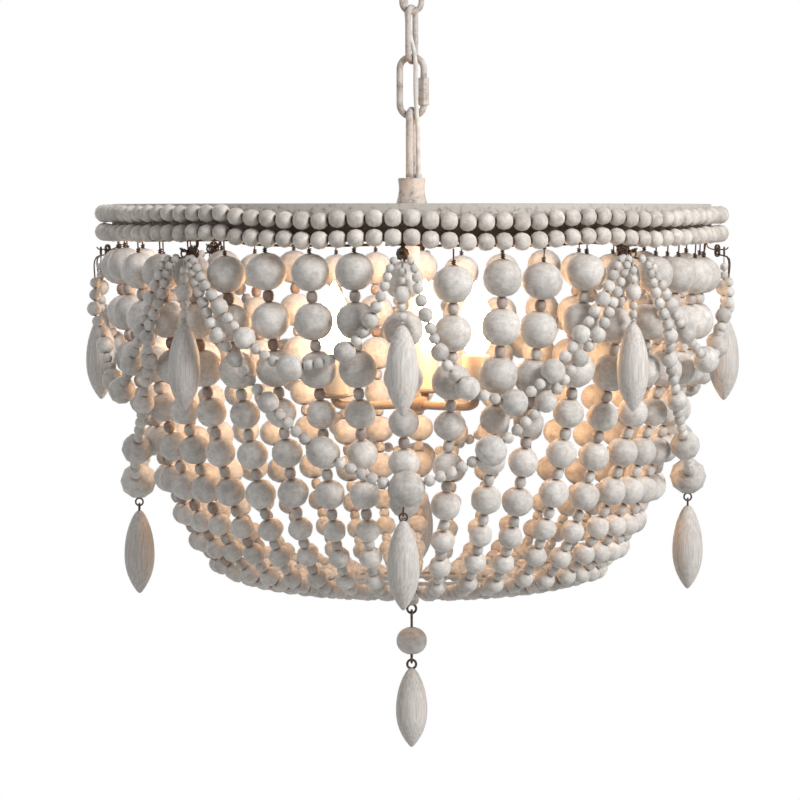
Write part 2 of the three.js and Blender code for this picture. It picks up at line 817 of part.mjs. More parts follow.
for (let k = 0; k < hookCount; k += 1) {
  const shallow = k % 2 === 1;
  const nearHook = shallow ? k + 1 : k;
  const farHook = shallow ? k : k + 1;
  const side = shallow ? -1 : 1;
  const low = shallow ? shallowLowAngle : deepLowAngle;
  const apart = side * (hookAngle(farHook) - hookAngle(nearHook));
  const far = apart - (shallow ? shallowFarOffset : deepFarOffset);
  const sag = longSag * (shallow ? shallowSagShare : deepSagShare);
  const smallDiameter = shallow ? shallowSmallDiameter : deepSmallDiameter;
  const route = swagRoute(
    side * nearOffset, side * low, side * far, sag,
    [nearRiseShare, farRiseShare], smallDiameter, shortBeadDiameters.at(-1),
  );
  const string = beadString(route, smallDiameter, shortBeadDiameters, [7, 2, 2]);
  const mesh = add(fixture, `short_swag_${k + 1}`, string, materials.smallBead);
  mesh.rotation.z = hookAngle(nearHook);
}

// Where each long swag's middle bead lies, and the top wire of the eye under it
const longLows = longSagShares.map((share) => {
  const sag = longSag * share;
  const depth = swagTopDepth + sag;
  return {
    sag,
    depth,
    radius: strandReach(depth) + longBeadDiameters.at(-1) / 2 + gap,
    eyeTop: -depth - (longBeadDiameters.at(-1) - ringWire) / 2,
  };
});

longLows.forEach((low, k) => {
  const before = hookAngle(2 * k + hookCount - 1) - turn;
  const middle = hookAngle(2 * k);
  const route = swagRoute(
    before - middle + longOffset, 0, hookAngle(2 * k + 1) - middle - longOffset, low.sag,
    [longRiseShare, longRiseShare], longSmallDiameter, longBeadDiameters.at(-1),
  );
  const string = beadString(route, longSmallDiameter, longBeadDiameters, [6, 1, 4, 4, 5]);
  const pendantEye = eye(ringWireRadius, ringWire, 90 * deg);
  pendantEye.translate(0, -low.radius, low.eyeTop - ringWireRadius);
  const stem = rod(ringWire, low.eyeTop, -low.depth, 4);
  stem.translate(0, -low.radius, 0);
  const mesh = add(fixture, `long_swag_${k + 1}`, join(string, stem, pendantEye), materials.smallBead);
  mesh.rotation.z = middle;
});

// Drops: spindles pointed at both ends, hung by a wire eye

const dropShapeShares = [[0, 0], [0.11, 0.5], [0.36, 0.96], [0.66, 0.98], [0.89, 0.52], [1, 0]];

function dropRuns(top, length, diameter) {
  return dropShapeShares.map(([share, widthShare]) => ({
    z: top - share * length,
    radius: (dropTipDiameter + (diameter - dropTipDiameter) * widthShare) / 2,
  }));
}

function upright(runs, sides) {
  const stations = runs.map((run) => ({
    point: vec(0, 0, run.z),
    tangent: vec(0, 0, -1),
    guide: vec(0, 1, 0),
    radius: run.radius,
  }));
  return sweep(stations, sides, { staggered: true });
}

const tasselEyeTop = hookTop + 2 * gap + ringWire / 2; // middle of the eye's upper wire

function tassel() {
  const eyeLow = tasselEyeTop - 2 * ringWireRadius;
  const runs = [{ z: eyeLow, radius: ringWire / 2 }];
  let depth = tasselTopDepth - tasselBeadDiameters[0] / 2;
  for (const diameter of tasselBeadDiameters) {
    depth += diameter / 2;
    if (diameter > tasselBeadDiameters[0]) {
      runs.push({ z: -depth + diameter / 6, radius: diameter / 2 });
      runs.push({ z: -depth - diameter / 6, radius: diameter / 2 });
    } else {
      runs.push({ z: -depth, radius: diameter / 2 });
    }
    depth += diameter / 2;
  }
  runs.push({ z: -tasselDropDepth + ringWire, radius: ringWire / 2 });
  runs.push(...dropRuns(-tasselDropDepth, dropLength, dropDiameter));
  const ring = eye(ringWireRadius, ringWire, 0);
  ring.translate(0, 0, tasselEyeTop - ringWireRadius);
  const geometry = join(ring, upright(runs, 4));
  geometry.translate(0, -tasselRadius, 0);
  return geometry;
}

for (let k = 0; k < hookCount; k += 1) {
  const mesh = add(fixture, `tassel_${k + 1}`, tassel(), materials.drop);
  mesh.rotation.z = hookAngle(k);
}

function pendant(low) {
  const ringTop = low.eyeTop - 2 * ringWireRadius + ringWire + gap;
  const ring = eye(ringWireRadius, ringWire, 0);
  ring.translate(0, 0, ringTop - ringWireRadius);
  const top = ringTop - 2 * ringWireRadius + ringWire / 4;
  const geometry = join(ring, upright(dropRuns(top, dropLength, dropDiameter), 6));
  geometry.translate(0, -low.radius, 0);
  return geometry;
}

longLows.forEach((low, k) => {
  const mesh = add(fixture, `low_drop_${k + 1}`, pendant(low), materials.drop);
  mesh.rotation.z = hookAngle(2 * k);
});

// Centre column and lamps

add(fixture, 'centre_column', rod(columnDiameter, -lampHubDepth + gap, hubBottom - gap, 10), materials.cream);

const armLevel = -lampHubDepth - lampHubHeight / 2;
const dishTop = armLevel + armDiameter / 2 + dishRise;

function lampArms() {
  const parts = [rod(lampHubDiameter, -lampHubDepth - lampHubHeight, -lampHubDepth, 12)];
  for (let i = 0; i < lampCount; i += 1) {
    const arm = rod(armDiameter, 0, armReach, 6);
    arm.rotateX(90 * deg);
    arm.translate(0, 0, armLevel);
    const knee = rod(armDiameter, armLevel - armDiameter / 2, dishTop - dishThickness / 2, 8);
    knee.translate(0, -armReach, 0);
    const dish = rod(dishDiameter, dishTop - dishThickness, dishTop, 12);
    dish.translate(0, -armReach, 0);
    const whole = join(arm, knee, dish);
    whole.rotateZ(firstLampAngle + (i * turn) / lampCount);
    parts.push(whole);
  }
  return join(...parts);
}

add(fixture, 'lamp_arms', lampArms(), materials.cream);

function candle() {
  const outer = candleDiameter / 2;
  const bore = candleBoreDiameter / 2;
  const low = dishTop + gap;
  const high = low + candleHeight;
  const floor = high - candleBoreDepth;
  return lathe([[0, low], [outer, low], [outer, high], [bore, high], [bore, floor], [0, floor]], 10);
}

const bulbSeat = dishTop + gap + candleHeight - candleBoreDepth + gap;
const bulbShoulder = dishTop + gap + candleHeight + gap;
const bulbWidthShares = [[0, 0.46], [0.12, 0.72], [0.32, 1], [0.58, 0.78], [0.82, 0.36]];

function bulb() {
  const profile = [[0, bulbSeat], [bulbBaseDiameter / 2, bulbSeat], [bulbBaseDiameter / 2, bulbShoulder]];
  for (const [share, widthShare] of bulbWidthShares) {
    profile.push([(widthShare * bulbDiameter) / 2, bulbShoulder + gap + share * bulbHeight]);
  }
  profile.push([0, bulbShoulder + gap + bulbHeight]);
  return lathe(profile, 8);
}

for (let i = 0; i < lampCount; i += 1) {
  const angle = firstLampAngle + (i * turn) / lampCount;
  const sleeveMesh = add(fixture, `candle_sleeve_${i + 1}`, candle(), materials.candle);
  sleeveMesh.position.set(armReach * Math.sin(angle), -armReach * Math.cos(angle), 0);
  const bulbMesh = add(fixture, `bulb_${i + 1}`, bulb(), materials.glass);
  bulbMesh.position.copy(sleeveMesh.position);
}

// Foot ring inside the strands' lower ends, with the eye that the finial hangs from

const footRadius = tailRingRadius - tailWire / 2 - 2 * gap - footRingWire / 2;
const footLow = -basketDepth - footStemLength;
const footEyeTop = footLow + finialEyeWire / 4;

function footRing() {
  const ring = new THREE.TorusGeometry(footRadius, footRingWire / 2, 4, 28);
  ring.translate(0, 0, -basketDepth);
  const parts = [ring, rod(footStemDiameter, footLow, -basketDepth + footBarThickness, 10)];
  for (let i = 0; i < 2; i += 1) {
    const low = -basketDepth - footBarThickness / 2;
    const bar = block(2 * footRadius, footBarWidth, low, low + footBarThickness);
    bar.rotateZ((i * turn) / 4);
    parts.push(bar);
  }
  const footEye = eye(finialEyeRadius, finialEyeWire, 0);
  footEye.translate(0, 0, footEyeTop - finialEyeRadius);
  parts.push(footEye);
  return join(...parts);
}

add(fixture, 'foot_ring', footRing(), materials.cream);

const finialRingTop = footEyeTop - 2 * finialEyeRadius + finialEyeWire + gap;
const finialBeadTop = finialRingTop - 2 * finialEyeRadius - finialStem;
const finialBeadLow = finialBeadTop - finialBeadHeight;
const lowEyeTop = finialBeadLow + finialEyeWire / 4;

function finialBead() {
  const upper = eye(finialEyeRadius, finialEyeWire, 90 * deg);
  upper.translate(0, 0, finialRingTop - finialEyeRadius);
  const lower = eye(finialEyeRadius, finialEyeWire, 90 * deg);
  lower.translate(0, 0, lowEyeTop - finialEyeRadius);
  const half = finialBeadDiameter / 2;
  const body = upright([
    { z: finialRingTop - 2 * finialEyeRadius, radius: finialEyeWire / 2 },
    { z: finialBeadTop, radius: half * 0.45 },
    { z: finialBeadTop - finialBeadHeight * 0.28, radius: half },
    { z: finialBeadLow + finialBeadHeight * 0.28, radius: half },
    { z: finialBeadLow, radius: half * 0.45 },
  ], 8);
  return join(upper, body, lower);
}

add(fixture, 'finial_bead', finialBead(), materials.bead);

const lowRingTop = lowEyeTop - 2 * finialEyeRadius + finialEyeWire + gap;

function finialDrop() {
  const ring = eye(finialEyeRadius, finialEyeWire, 0);
  ring.translate(0, 0, lowRingTop - finialEyeRadius);
  const top = lowRingTop - 2 * finialEyeRadius + finialEyeWire / 4;
  return join(ring, upright(dropRuns(top, finialDropLength, finialDropDiameter), 8));
}

add(fixture, 'finial_drop', finialDrop(), materials.drop);

export default light;
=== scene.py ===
import math

import bpy
import numpy as np
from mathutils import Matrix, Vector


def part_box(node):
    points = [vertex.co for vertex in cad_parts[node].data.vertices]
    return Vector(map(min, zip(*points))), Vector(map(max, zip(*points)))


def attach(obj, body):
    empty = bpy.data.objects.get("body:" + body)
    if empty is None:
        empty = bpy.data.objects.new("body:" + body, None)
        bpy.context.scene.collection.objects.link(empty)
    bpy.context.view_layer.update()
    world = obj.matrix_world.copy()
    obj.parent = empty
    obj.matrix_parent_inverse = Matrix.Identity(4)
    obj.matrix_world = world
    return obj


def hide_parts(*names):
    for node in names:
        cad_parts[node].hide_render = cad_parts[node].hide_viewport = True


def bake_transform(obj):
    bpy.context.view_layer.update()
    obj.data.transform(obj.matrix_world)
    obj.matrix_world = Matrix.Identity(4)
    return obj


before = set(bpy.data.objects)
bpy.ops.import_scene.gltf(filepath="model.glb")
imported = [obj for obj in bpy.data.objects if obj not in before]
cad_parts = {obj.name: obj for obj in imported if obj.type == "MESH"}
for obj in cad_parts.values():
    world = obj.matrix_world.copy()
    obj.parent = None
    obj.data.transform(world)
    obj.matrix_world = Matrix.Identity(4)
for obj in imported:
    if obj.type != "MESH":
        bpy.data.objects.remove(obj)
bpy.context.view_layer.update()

# Camera and studio
# A long lens just below the ring's upper edge points a little down, as in the photograph. A white
# room, one broad lamp at the front right and weaker ones at the left and the back give soft light.

camera_place = (0, -3.048, -0.2514)
camera_lens = 170.6
camera_pitch = math.radians(2.82)
camera_yaw = math.radians(0.177)
room_light = 0.2
lamps_aim_at = np.array([0, 0, -0.4])
floor_height = -2.4
floor_half = 12.0


def linear(red, green, blue):
    """A colour written as a screen shows it, 0 to 255 a channel, as the shader's linear colour."""
    share = np.array([red, green, blue]) / 255
    value = np.where(share <= 0.04045, share / 12.92, ((share + 0.055) / 1.055) ** 2.4)
    return (*value.tolist(), 1.0)


def shown(name, data):
    """An object that holds this data, linked to the scene."""
    made = bpy.data.objects.new(name, data)
    bpy.context.scene.collection.objects.link(made)
    return made


def feed(target, inputs):
    """Sets a node's inputs: each to a plain value, an output, or a node's first output in use."""
    for key, value in inputs.items():
        if isinstance(value, bpy.types.Node):
            value = next(output for output in value.outputs if output.enabled)
        if isinstance(value, bpy.types.NodeSocket):
            target.id_data.links.new(value, target.inputs[key])
        else:
            target.inputs[key].default_value = value
    return target


def node(tree, kind, inputs=None, **settings):
    """A new shader node with some of its settings and inputs given."""
    made = tree.nodes.new("ShaderNode" + kind)
    for key, value in settings.items():
        setattr(made, key, value)
    return feed(made, inputs or {})


def worked_out(operation, first, second):
    """A Math node over two values, in the tree of the first."""
    return node(first.id_data, "Math", {0: first, 1: second}, operation=operation)


def ranged(value, from_low, from_high, to_low, to_high):
    """A value carried from one range to another, and held inside it."""
    ends = {"From Min": from_low, "From Max": from_high, "To Min": to_low, "To Max": to_high}
    return node(value.id_data, "MapRange", {"Value": value, **ends})


def material(name, inputs):
    """A material, its tree and its Principled shader with some inputs given."""
    made = bpy.data.materials.new(name)
    made.use_nodes = True
    return made, made.node_tree, feed(made.node_tree.nodes["Principled BSDF"], inputs)


def white_to_camera(tree, shade):
    """A share that is 1 for rays that only look, and shade for rays that light the object."""
    path = node(tree, "LightPath").outputs
    looks = worked_out("MAXIMUM", path["Is Camera Ray"], path["Is Glossy Ray"])
    looks = worked_out("MAXIMUM", looks, path["Is Transmission Ray"])
    return ranged(looks, 0, 1, shade, 1)


camera_data = bpy.data.cameras.new("camera")
camera_data.lens = camera_lens
camera_data.sensor_width = 36
camera = shown("camera", camera_data)
camera.location = camera_place
camera.rotation_euler = (math.pi / 2 - camera_pitch, 0, camera_yaw)
bpy.context.scene.camera = camera
bpy.context.scene.view_settings.view_transform = "Standard"

world = bpy.data.worlds.new("white_room")
world.use_nodes = True
bpy.context.scene.world = world
feed(world.node_tree.nodes["Background"],
     {"Color": (1, 1, 1, 1), "Strength": white_to_camera(world.node_tree, room_light)})

for name, place, size, watts, colour in (
    ("key_lamp", (2.4, -2.0, 1.2), 1.2, 112, (1, 0.985, 0.97)),
    ("fill_lamp", (-2.6, -1.6, 0.6), 1.8, 16, (0.98, 0.99, 1)),
    ("back_lamp", (-1.4, 2.6, 0.9), 1.8, 24, (0.98, 0.99, 1)),
):
    lamp_data = bpy.data.lights.new(name, "AREA")
    lamp_data.size = size
    lamp_data.energy = watts
    lamp_data.color = colour
    lamp = shown(name, lamp_data)
    lamp.location = place
    aim = lamps_aim_at - place
    tilt = math.acos(-aim[2] / np.linalg.norm(aim))
    lamp.rotation_euler = (tilt, 0, math.atan2(aim[1], aim[0]) - math.pi / 2)

pale_floor, tree, shader = material("pale_floor", {"Base Color": linear(236, 235, 233), "Roughness": 0.9})
seen = node(tree, "MixShader", {0: white_to_camera(tree, 0), 1: shader, 2: node(tree, "Emission")})
feed(tree.nodes["Material Output"], {"Surface": seen})
square = np.array([(-1, -1, 0), (1, -1, 0), (1, 1, 0), (-1, 1, 0)]) * floor_half + (0, 0, floor_height)
floor_mesh = bpy.data.meshes.new("floor")
floor_mesh.from_pydata(square.tolist(), [], [(0, 1, 2, 3)])
floor_mesh.materials.append(pale_floor)
shown("floor", floor_mesh)


# Mounting plate
# A strip of zinc-plated steel with two screw slots, screwed to the ceiling box. The frame's own
# shape is kept and given the fine lengthwise brushing of rolled strip.


def group(name, inputs, outputs):
    """A new shader group, what it is given and what it puts out. A value's count tells its kind."""
    tree = bpy.data.node_groups.new(name, "ShaderNodeTree")
    for label, value in inputs.items():
        kind = {4: "Color", 3: "Vector", 1: "Float"}[np.size(value)]
        socket = tree.interface.new_socket(label, in_out="INPUT", socket_type="NodeSocket" + kind)
        socket.default_value = value
    for label in outputs:
        kind = "Color" if label == "Color" else "Float"
        tree.interface.new_socket(label, in_out="OUTPUT", socket_type="NodeSocket" + kind)
    return tree, tree.nodes.new("NodeGroupInput").outputs, tree.nodes.new("NodeGroupOutput")


def coated(name, effect, values, relief=0.0, coloured="Base Color", **constants):
    """A material coloured by a shader group with its own values, which gives the roughness too if
    it puts one out. Relief is how far a height of 1 stands above a height of 0, in metres."""
    constants = {key.replace("_", " "): value for key, value in constants.items()}
    made, tree, shader = material(name, constants)
    coat = node(tree, "Group", values, node_tree=effect).outputs
    feed(shader, {coloured: coat["Color"]})
    if "Roughness" in coat:
        feed(shader, {"Roughness": coat["Roughness"]})
    if relief:
        bump = node(tree, "Bump", {"Strength": 1.0, "Distance": relief, "Height": coat["Height"]})
        feed(shader, {"Normal": bump})
    return made


def dress(piece, finish):
    """The piece's only material."""
    piece.data.materials.clear()
    piece.data.materials.append(finish)


# The colour goes from dark to pale as a noise, with its own scale along each axis, goes from low to high.
mottle, given, result = group(
    "mottle",
    {"Dark": linear(120, 120, 120), "Pale": linear(180, 180, 180), "Scale": (100.0, 100.0, 100.0),
     "Detail": 3.0, "Low": 0.0, "High": 1.0},
    ("Color", "Height"),
)
place = node(mottle, "TexCoord").outputs["Object"]
stretch = node(mottle, "Mapping", {"Vector": place, "Scale": given["Scale"]})
cloud = node(mottle, "TexNoise", {"Vector": stretch, "Scale": 1.0, "Detail": given["Detail"]})
share = ranged(cloud, given["Low"], given["High"], 0, 1)
colour = node(mottle, "Mix", {"Factor": share, "A": given["Dark"], "B": given["Pale"]}, data_type="RGBA")
feed(result, {"Color": colour, "Height": cloud})

brushing = {"Dark": linear(150, 148, 144), "Pale": linear(196, 195, 192), "Scale": (12, 900, 900)}
steel = coated("rolled_steel", mottle, brushing, 0.00005, Metallic=0.85, Roughness=0.42)
dress(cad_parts["mounting_plate"], steel)


# Canopy
# A spun steel dome that hides the ceiling box, painted antique cream and rubbed back at its edges.
# It rests on the collar of the threaded stub that runs through its middle.


def surface(name, covered, finish, slot, rings, body="fixture", looped=False, **marks):
    """One mesh over copies of a grid: rings holds copies x rings x sides x 3 points.
    Each ring joins the next by quads. A run that isn't looped gets one flat face at each end.
    The piece takes the covered node's place. marks are named values for each point, spread from
    any shape that fits copies x rings x sides."""
    rings = np.asarray(rings, float)
    rings = rings if rings.ndim == 4 else rings[None]
    number = np.arange(rings[..., 0].size).reshape(rings.shape[:3])
    low = number if looped else number[:, :-1]
    high = np.roll(number, -1, 1) if looped else number[:, 1:]
    faces = np.stack([low, np.roll(low, -1, 2), np.roll(high, -1, 2), high], -1).reshape(-1, 4).tolist()
    if not looped:
        faces += number[:, 0, ::-1].tolist() + number[:, -1].tolist()
    mesh = bpy.data.meshes.new(name)
    mesh.from_pydata(rings.reshape(-1, 3).tolist(), [], faces)
    for label, values in marks.items():
        wide = np.ndim(values) == 4
        full = np.broadcast_to(values, rings.shape if wide else rings.shape[:3])
        kind, field = ("FLOAT_VECTOR", "vector") if wide else ("FLOAT", "value")
        mesh.attributes.new(label, kind, "POINT").data.foreach_set(field, full.astype(np.float32).ravel())
    mesh.shade_smooth()
    piece = shown(name, mesh)
    dress(piece, finish)
    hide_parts(covered)
    if body:
        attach(piece, body)
    return piece


def round_angles(count):
    """Angles evenly spaced round a circle."""
    return np.arange(count) * 2 * math.pi / count


def lathed(profile, sides=48, middle=(0, 0)):
    """Rings turned about an upright line: the profile's points are radius and height."""
    profile = np.asarray(profile, float)
    angle = round_angles(sides)
    x = middle[0] + profile[:, :1] * np.cos(angle)
    y = middle[1] + profile[:, :1] * np.sin(angle)
    return np.stack([x, y, np.broadcast_to(profile[:, 1:], x.shape)], -1)


# Paint is rubbed off where a coarse and a fine noise, added to the piece's own marks, pass a limit.
# The marks are rubbed places, and on the ring's band painted shade too.
worn_paint, given, result = group(
    "worn_paint",
    {"Paint": linear(216, 210, 202), "Bare": linear(118, 94, 78), "Wear": 0.35, "Scale": 260.0},
    ("Color", "Roughness", "Height"),
)
place = node(worn_paint, "TexCoord").outputs["Object"]
coarse = {"Vector": place, "Scale": given["Scale"], "Detail": 4.0, "Roughness": 0.62}
coarse = node(worn_paint, "TexNoise", coarse)
finer = worked_out("MULTIPLY", given["Scale"], 5.0)
fine = node(worn_paint, "TexNoise", {"Vector": place, "Scale": finer, "Detail": 2.0})
blend = node(worn_paint, "Mix", {"Factor": 0.3, "A": coarse, "B": fine})
rubbed_and_shaded = node(worn_paint, "Attribute", attribute_name="wear").outputs["Fac"]
limit = ranged(given["Wear"], 0, 1, 0.75, 0.38)
past = worked_out("SUBTRACT", worked_out("ADD", blend, rubbed_and_shaded), limit)
edge = ranged(past, -0.07, 0.13, 0, 1)
tint = {"Factor": 1.0, "A": given["Paint"], "B": ranged(fine, 0.3, 0.7, 0.9, 1.05)}
tinted = node(worn_paint, "Mix", tint, data_type="RGBA", blend_type="MULTIPLY")
colour = node(worn_paint, "Mix", {"Factor": edge, "A": tinted, "B": given["Bare"]}, data_type="RGBA")
rough = ranged(edge, 0, 1, 0.62, 0.48)
feed(result, {"Color": colour, "Roughness": rough, "Height": ranged(edge, 0, 1, 1, 0)})

paint_relief = 0.00012
cream = coated("antique_cream", worn_paint, {"Wear": 0.3, "Scale": 90.0, "Paint": linear(199, 198, 198),
                                             "Bare": linear(138, 116, 102)}, paint_relief)
canopy_low, canopy_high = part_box("ceiling_canopy")
rim_roll = 0.0009
rim_height = 0.0016
canopy_radius = (canopy_high - canopy_low).x / 2 - rim_roll
canopy_depth = -canopy_low.z
canopy_hole = 0.0051
canopy_wall = 0.0014
rise = np.linspace(0, math.pi / 2, 26)
outside, inside = (np.stack([canopy_hole + (canopy_radius - wall - canopy_hole) * np.cos(rise),
                             -(canopy_depth - wall) * np.sin(rise)], -1) for wall in (0, canopy_wall))
rolled = canopy_radius + rim_roll * np.sin(np.linspace(0, math.pi, 5))
rim = np.stack([rolled, -rim_height + rim_height * np.linspace(0, 1, 5)], -1)
profile = np.concatenate([outside[:0:-1], rim, inside[1:]])
near_rim = np.clip((profile[:, 0] - 0.9 * canopy_radius) / (0.1 * canopy_radius), 0, 1) * 0.1
surface("canopy_dome", "ceiling_canopy", cream, "cream_metal", lathed(profile, 96), "ceiling_fitting",
        looped=True, wear=near_rim[None, :, None])


# Canopy eye
# A threaded stub with a shouldered collar, and under it a forged eye that carries the chain. It is
# painted like the chain, cream over brown iron, and worn where the link rubs.


def turned(profile, sides, middle=(0, 0), core=0.0003):
    """A solid turning: a lathed profile whose two ends are carried in to a very narrow core."""
    return lathed([(core, profile[0][1]), *profile, (core, profile[-1][1])], sides, middle)


def unit(vectors):
    """Vectors made 1 long."""
    return vectors / np.linalg.norm(vectors, axis=1, keepdims=True)


def square_to(ahead, guide):
    """The guide made square to each direction, and the cross product of the direction and that."""
    guide = np.broadcast_to(np.asarray(guide, float), ahead.shape)
    across = unit(guide - ahead * np.sum(guide * ahead, 1, keepdims=True))
    return across, np.cross(ahead, across)


def tube(path, guide, radius, sides=14, looped=False):
    """Rings square to a path. Each point lies at the radius times the sum of the squared guide by
    the angle's cos and the cross product by its sin."""
    path = np.asarray(path, float)
    ahead = np.roll(path, -1, 0) - np.roll(path, 1, 0) if looped else np.gradient(path, axis=0)
    across, other = square_to(unit(ahead), guide)
    angle = round_angles(sides)
    ring = across[:, None] * np.cos(angle)[None, :, None] + other[:, None] * np.sin(angle)[None, :, None]
    return path[:, None] + np.broadcast_to(radius, len(path))[:, None, None] * ring


def stadium(half_width, top, bottom, steps=14):
    """A closed figure of two half circles joined by straight sides, as width and height."""
    bend = np.linspace(0, math.pi, steps)
    upper = np.stack([half_width * np.cos(bend), top - half_width + half_width * np.sin(bend)], -1)
    lower = np.stack([-half_width * np.cos(bend), bottom + half_width - half_width * np.sin(bend)], -1)
    side = np.linspace(0, 1, 8)[1:-1, None]
    left = upper[-1] + (lower[0] - upper[-1]) * side
    right = lower[-1] + (upper[0] - lower[-1]) * side
    return np.concatenate([upper, left, lower, right])


def upright_figure(figure, angle):
    """A flat figure stood up in the plane that runs at this angle from the right-hand direction."""
    return np.stack([figure[:, 0] * math.cos(angle), figure[:, 0] * math.sin(angle), figure[:, 1]], -1)


def worn_ends(path, top, bottom, reach=0.007, most=0.16):
    """Marks that grow towards the top and bottom of an upright ring, where its neighbours rub."""
    from_end = np.minimum(abs(top - path[:, 2]), abs(path[:, 2] - bottom))
    return (np.clip(1 - from_end / reach, 0, 1) * most)[None, :, None]


chain_paint = coated("chain_paint", worn_paint, {"Wear": 0.5, "Scale": 110.0, "Paint": linear(205, 201, 197),
                                                 "Bare": linear(134, 108, 94)}, paint_relief)
eye_wire = 0.005
eye_half = 0.0075
eye_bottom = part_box("canopy_loop")[0].z
stub_radius = 0.0048
stub_top = -0.0033
collar_top = canopy_low.z - 0.0003
collar_bottom = collar_top - 0.0057
stub = turned([(stub_radius, collar_top), (stub_radius, stub_top)], 20, core=0.0002)
collar = turned([(0.0098, collar_bottom), (0.011, collar_bottom + 0.0012), (0.011, collar_top - 0.0012),
                 (0.0098, collar_top)], 32, core=0.0002)
surface("threaded_stub", "canopy_loop", steel, "distressed_iron", stub, "ceiling_fitting")
surface("eye_collar", "canopy_loop", chain_paint, "distressed_iron", collar, "ceiling_fitting")
figure = stadium(eye_half, collar_bottom + eye_wire / 4, eye_bottom + eye_wire / 2)
path = upright_figure(figure, math.pi / 2)
surface("canopy_eye", "canopy_loop", chain_paint, "distressed_iron",
        tube(path, (1, 0, 0), eye_wire / 2, looped=True), "ceiling_fitting", looped=True,
        wear=worn_ends(path, 0, eye_bottom))


# Chain links
# Two links of round wire, each bent to a long loop and closed by a weld, the lower one turned 68
# degrees from the upper. The cream paint is worn through to brown at the bends.

link_wire = 0.0048
link_half = 0.0077

for name, angle in (("upper_link", 0.0), ("lower_link", math.radians(68))):
    low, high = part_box(name)
    path = upright_figure(stadium(link_half, high.z - link_wire / 2, low.z + link_wire / 2), angle)
    sideways = (-math.sin(angle), math.cos(angle), 0)
    surface(name + "_wire", name, chain_paint, "distressed_iron",
            tube(path, sideways, link_wire / 2, looped=True), name + "_body", looped=True,
            wear=worn_ends(path, high.z, low.z))


# Quick link and its nut
# A heavier loop of wire with a gap in its right limb. A long hexagonal nut runs on the thread there
# and closes the gap; screwing it up opens the link.

quick_wire = 0.0054
quick_half = 0.0096
quick_low, quick_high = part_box("quick_link")
nut_low, nut_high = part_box("quick_link_sleeve")
gate_low = nut_low.z + 0.0033
gate_high = gate_low + 0.0026
limb_top = quick_high.z - quick_wire / 2 - quick_half
limb_bottom = quick_low.z + quick_wire / 2 + quick_half
figure = stadium(quick_half, quick_high.z - quick_wire / 2, quick_low.z + quick_wire / 2)
figure = figure[abs(figure[:, 0] - quick_half) >= 1e-6]
limb = np.linspace(0, 1, 6)[:, None]
above = (quick_half, gate_high) + limb * np.array([0, limb_top - gate_high])
below = (quick_half, limb_bottom) + limb * np.array([0, gate_low - limb_bottom])
path = upright_figure(np.concatenate([above, figure, below]), 0)
surface("quick_link_wire", "quick_link", chain_paint, "distressed_iron",
        tube(path, (0, 1, 0), quick_wire / 2), "quick_link_body",
        wear=worn_ends(path, quick_high.z, quick_low.z))

nut_across = 0.0088
nut_bore = 0.00305
nut_chamfer = 0.0008
nut_sides = 36
angle = round_angles(nut_sides)
# A hexagon's radius at an angle is its flat distance over the cosine from the nearest flat.
hexagon = nut_across / 2 / np.cos((angle + math.pi / 6) % (math.pi / 3) - math.pi / 6)
bore = np.full(nut_sides, nut_bore)
levels = [
    (nut_low.z, 0.9 * hexagon), (nut_low.z + nut_chamfer, hexagon), (nut_high.z - nut_chamfer, hexagon),
    (nut_high.z, 0.9 * hexagon), (nut_high.z, bore), (nut_low.z, bore),
]
rings = [np.stack([quick_half + r * np.cos(angle), r * np.sin(angle), np.full(nut_sides, z)], -1)
         for z, r in levels]
nut = surface("quick_link_nut_hexagon", "quick_link_sleeve", chain_paint, "distressed_iron", np.stack(rings),
              "quick_link_nut", looped=True, wear=0.02)
nut.data.set_sharp_from_angle(angle=math.radians(25))


# Hanging loop and cap
# A tall bent rod whose two ends go down to the cap, and the turned cap that closes the fixture's
# top. The cap has a small raised neck where the lamp cord goes in.

loop_wire = 0.006
loop_half = 0.007
loop_angle = math.radians(75)
loop_low, loop_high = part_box("hanging_loop")
bend = np.linspace(0, math.pi, 18)
arch_top = loop_high.z - loop_wire / 2
arch = np.stack([loop_half * np.cos(bend), arch_top - loop_half + loop_half * np.sin(bend)], -1)
leg = np.linspace(loop_low.z, arch[0, 1], 12)[:-1]
right_leg = np.stack([np.full(len(leg), loop_half), leg], -1)
path = upright_figure(np.concatenate([right_leg, arch, right_leg[::-1] * (-1, 1)]), loop_angle)
surface("hanging_loop_rod", "hanging_loop", chain_paint, "distressed_iron",
        tube(path, (-math.sin(loop_angle), math.cos(loop_angle), 0), loop_wire / 2),
        wear=worn_ends(path, loop_high.z, loop_high.z))

cap_low, cap_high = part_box("top_cap")
cap_height = cap_high.z - cap_low.z
cap_foot = 0.01275
cap_shares = np.array([
    (0.05, 0.0), (0.985, 0.0), (1.0, 0.03), (1.0, 0.16), (0.975, 0.24), (0.91, 0.36), (0.85, 0.48),
    (0.812, 0.6), (0.808, 0.72), (0.83, 0.85), (0.86, 0.93), (0.862, 0.97), (0.84, 1.0), (0.05, 1.0),
])
surface("cap_turning", "top_cap", chain_paint, "cream_metal",
        lathed(cap_shares * (cap_foot, cap_height) + (0, cap_low.z), 40), wear=0.03)
neck_place = (0.0053, -0.0029)
neck_top = cap_high.z + 0.0028
neck_foot = cap_high.z - 0.002
neck = [(0.0031, neck_foot), (0.0031, neck_top - 0.0004), (0.0028, neck_top), (0.0022, neck_top),
        (0.0019, neck_top - 0.0004), (0.0019, neck_foot)]
surface("cord_neck", "top_cap", chain_paint, "cream_metal", lathed(neck, 24, neck_place), looped=True)
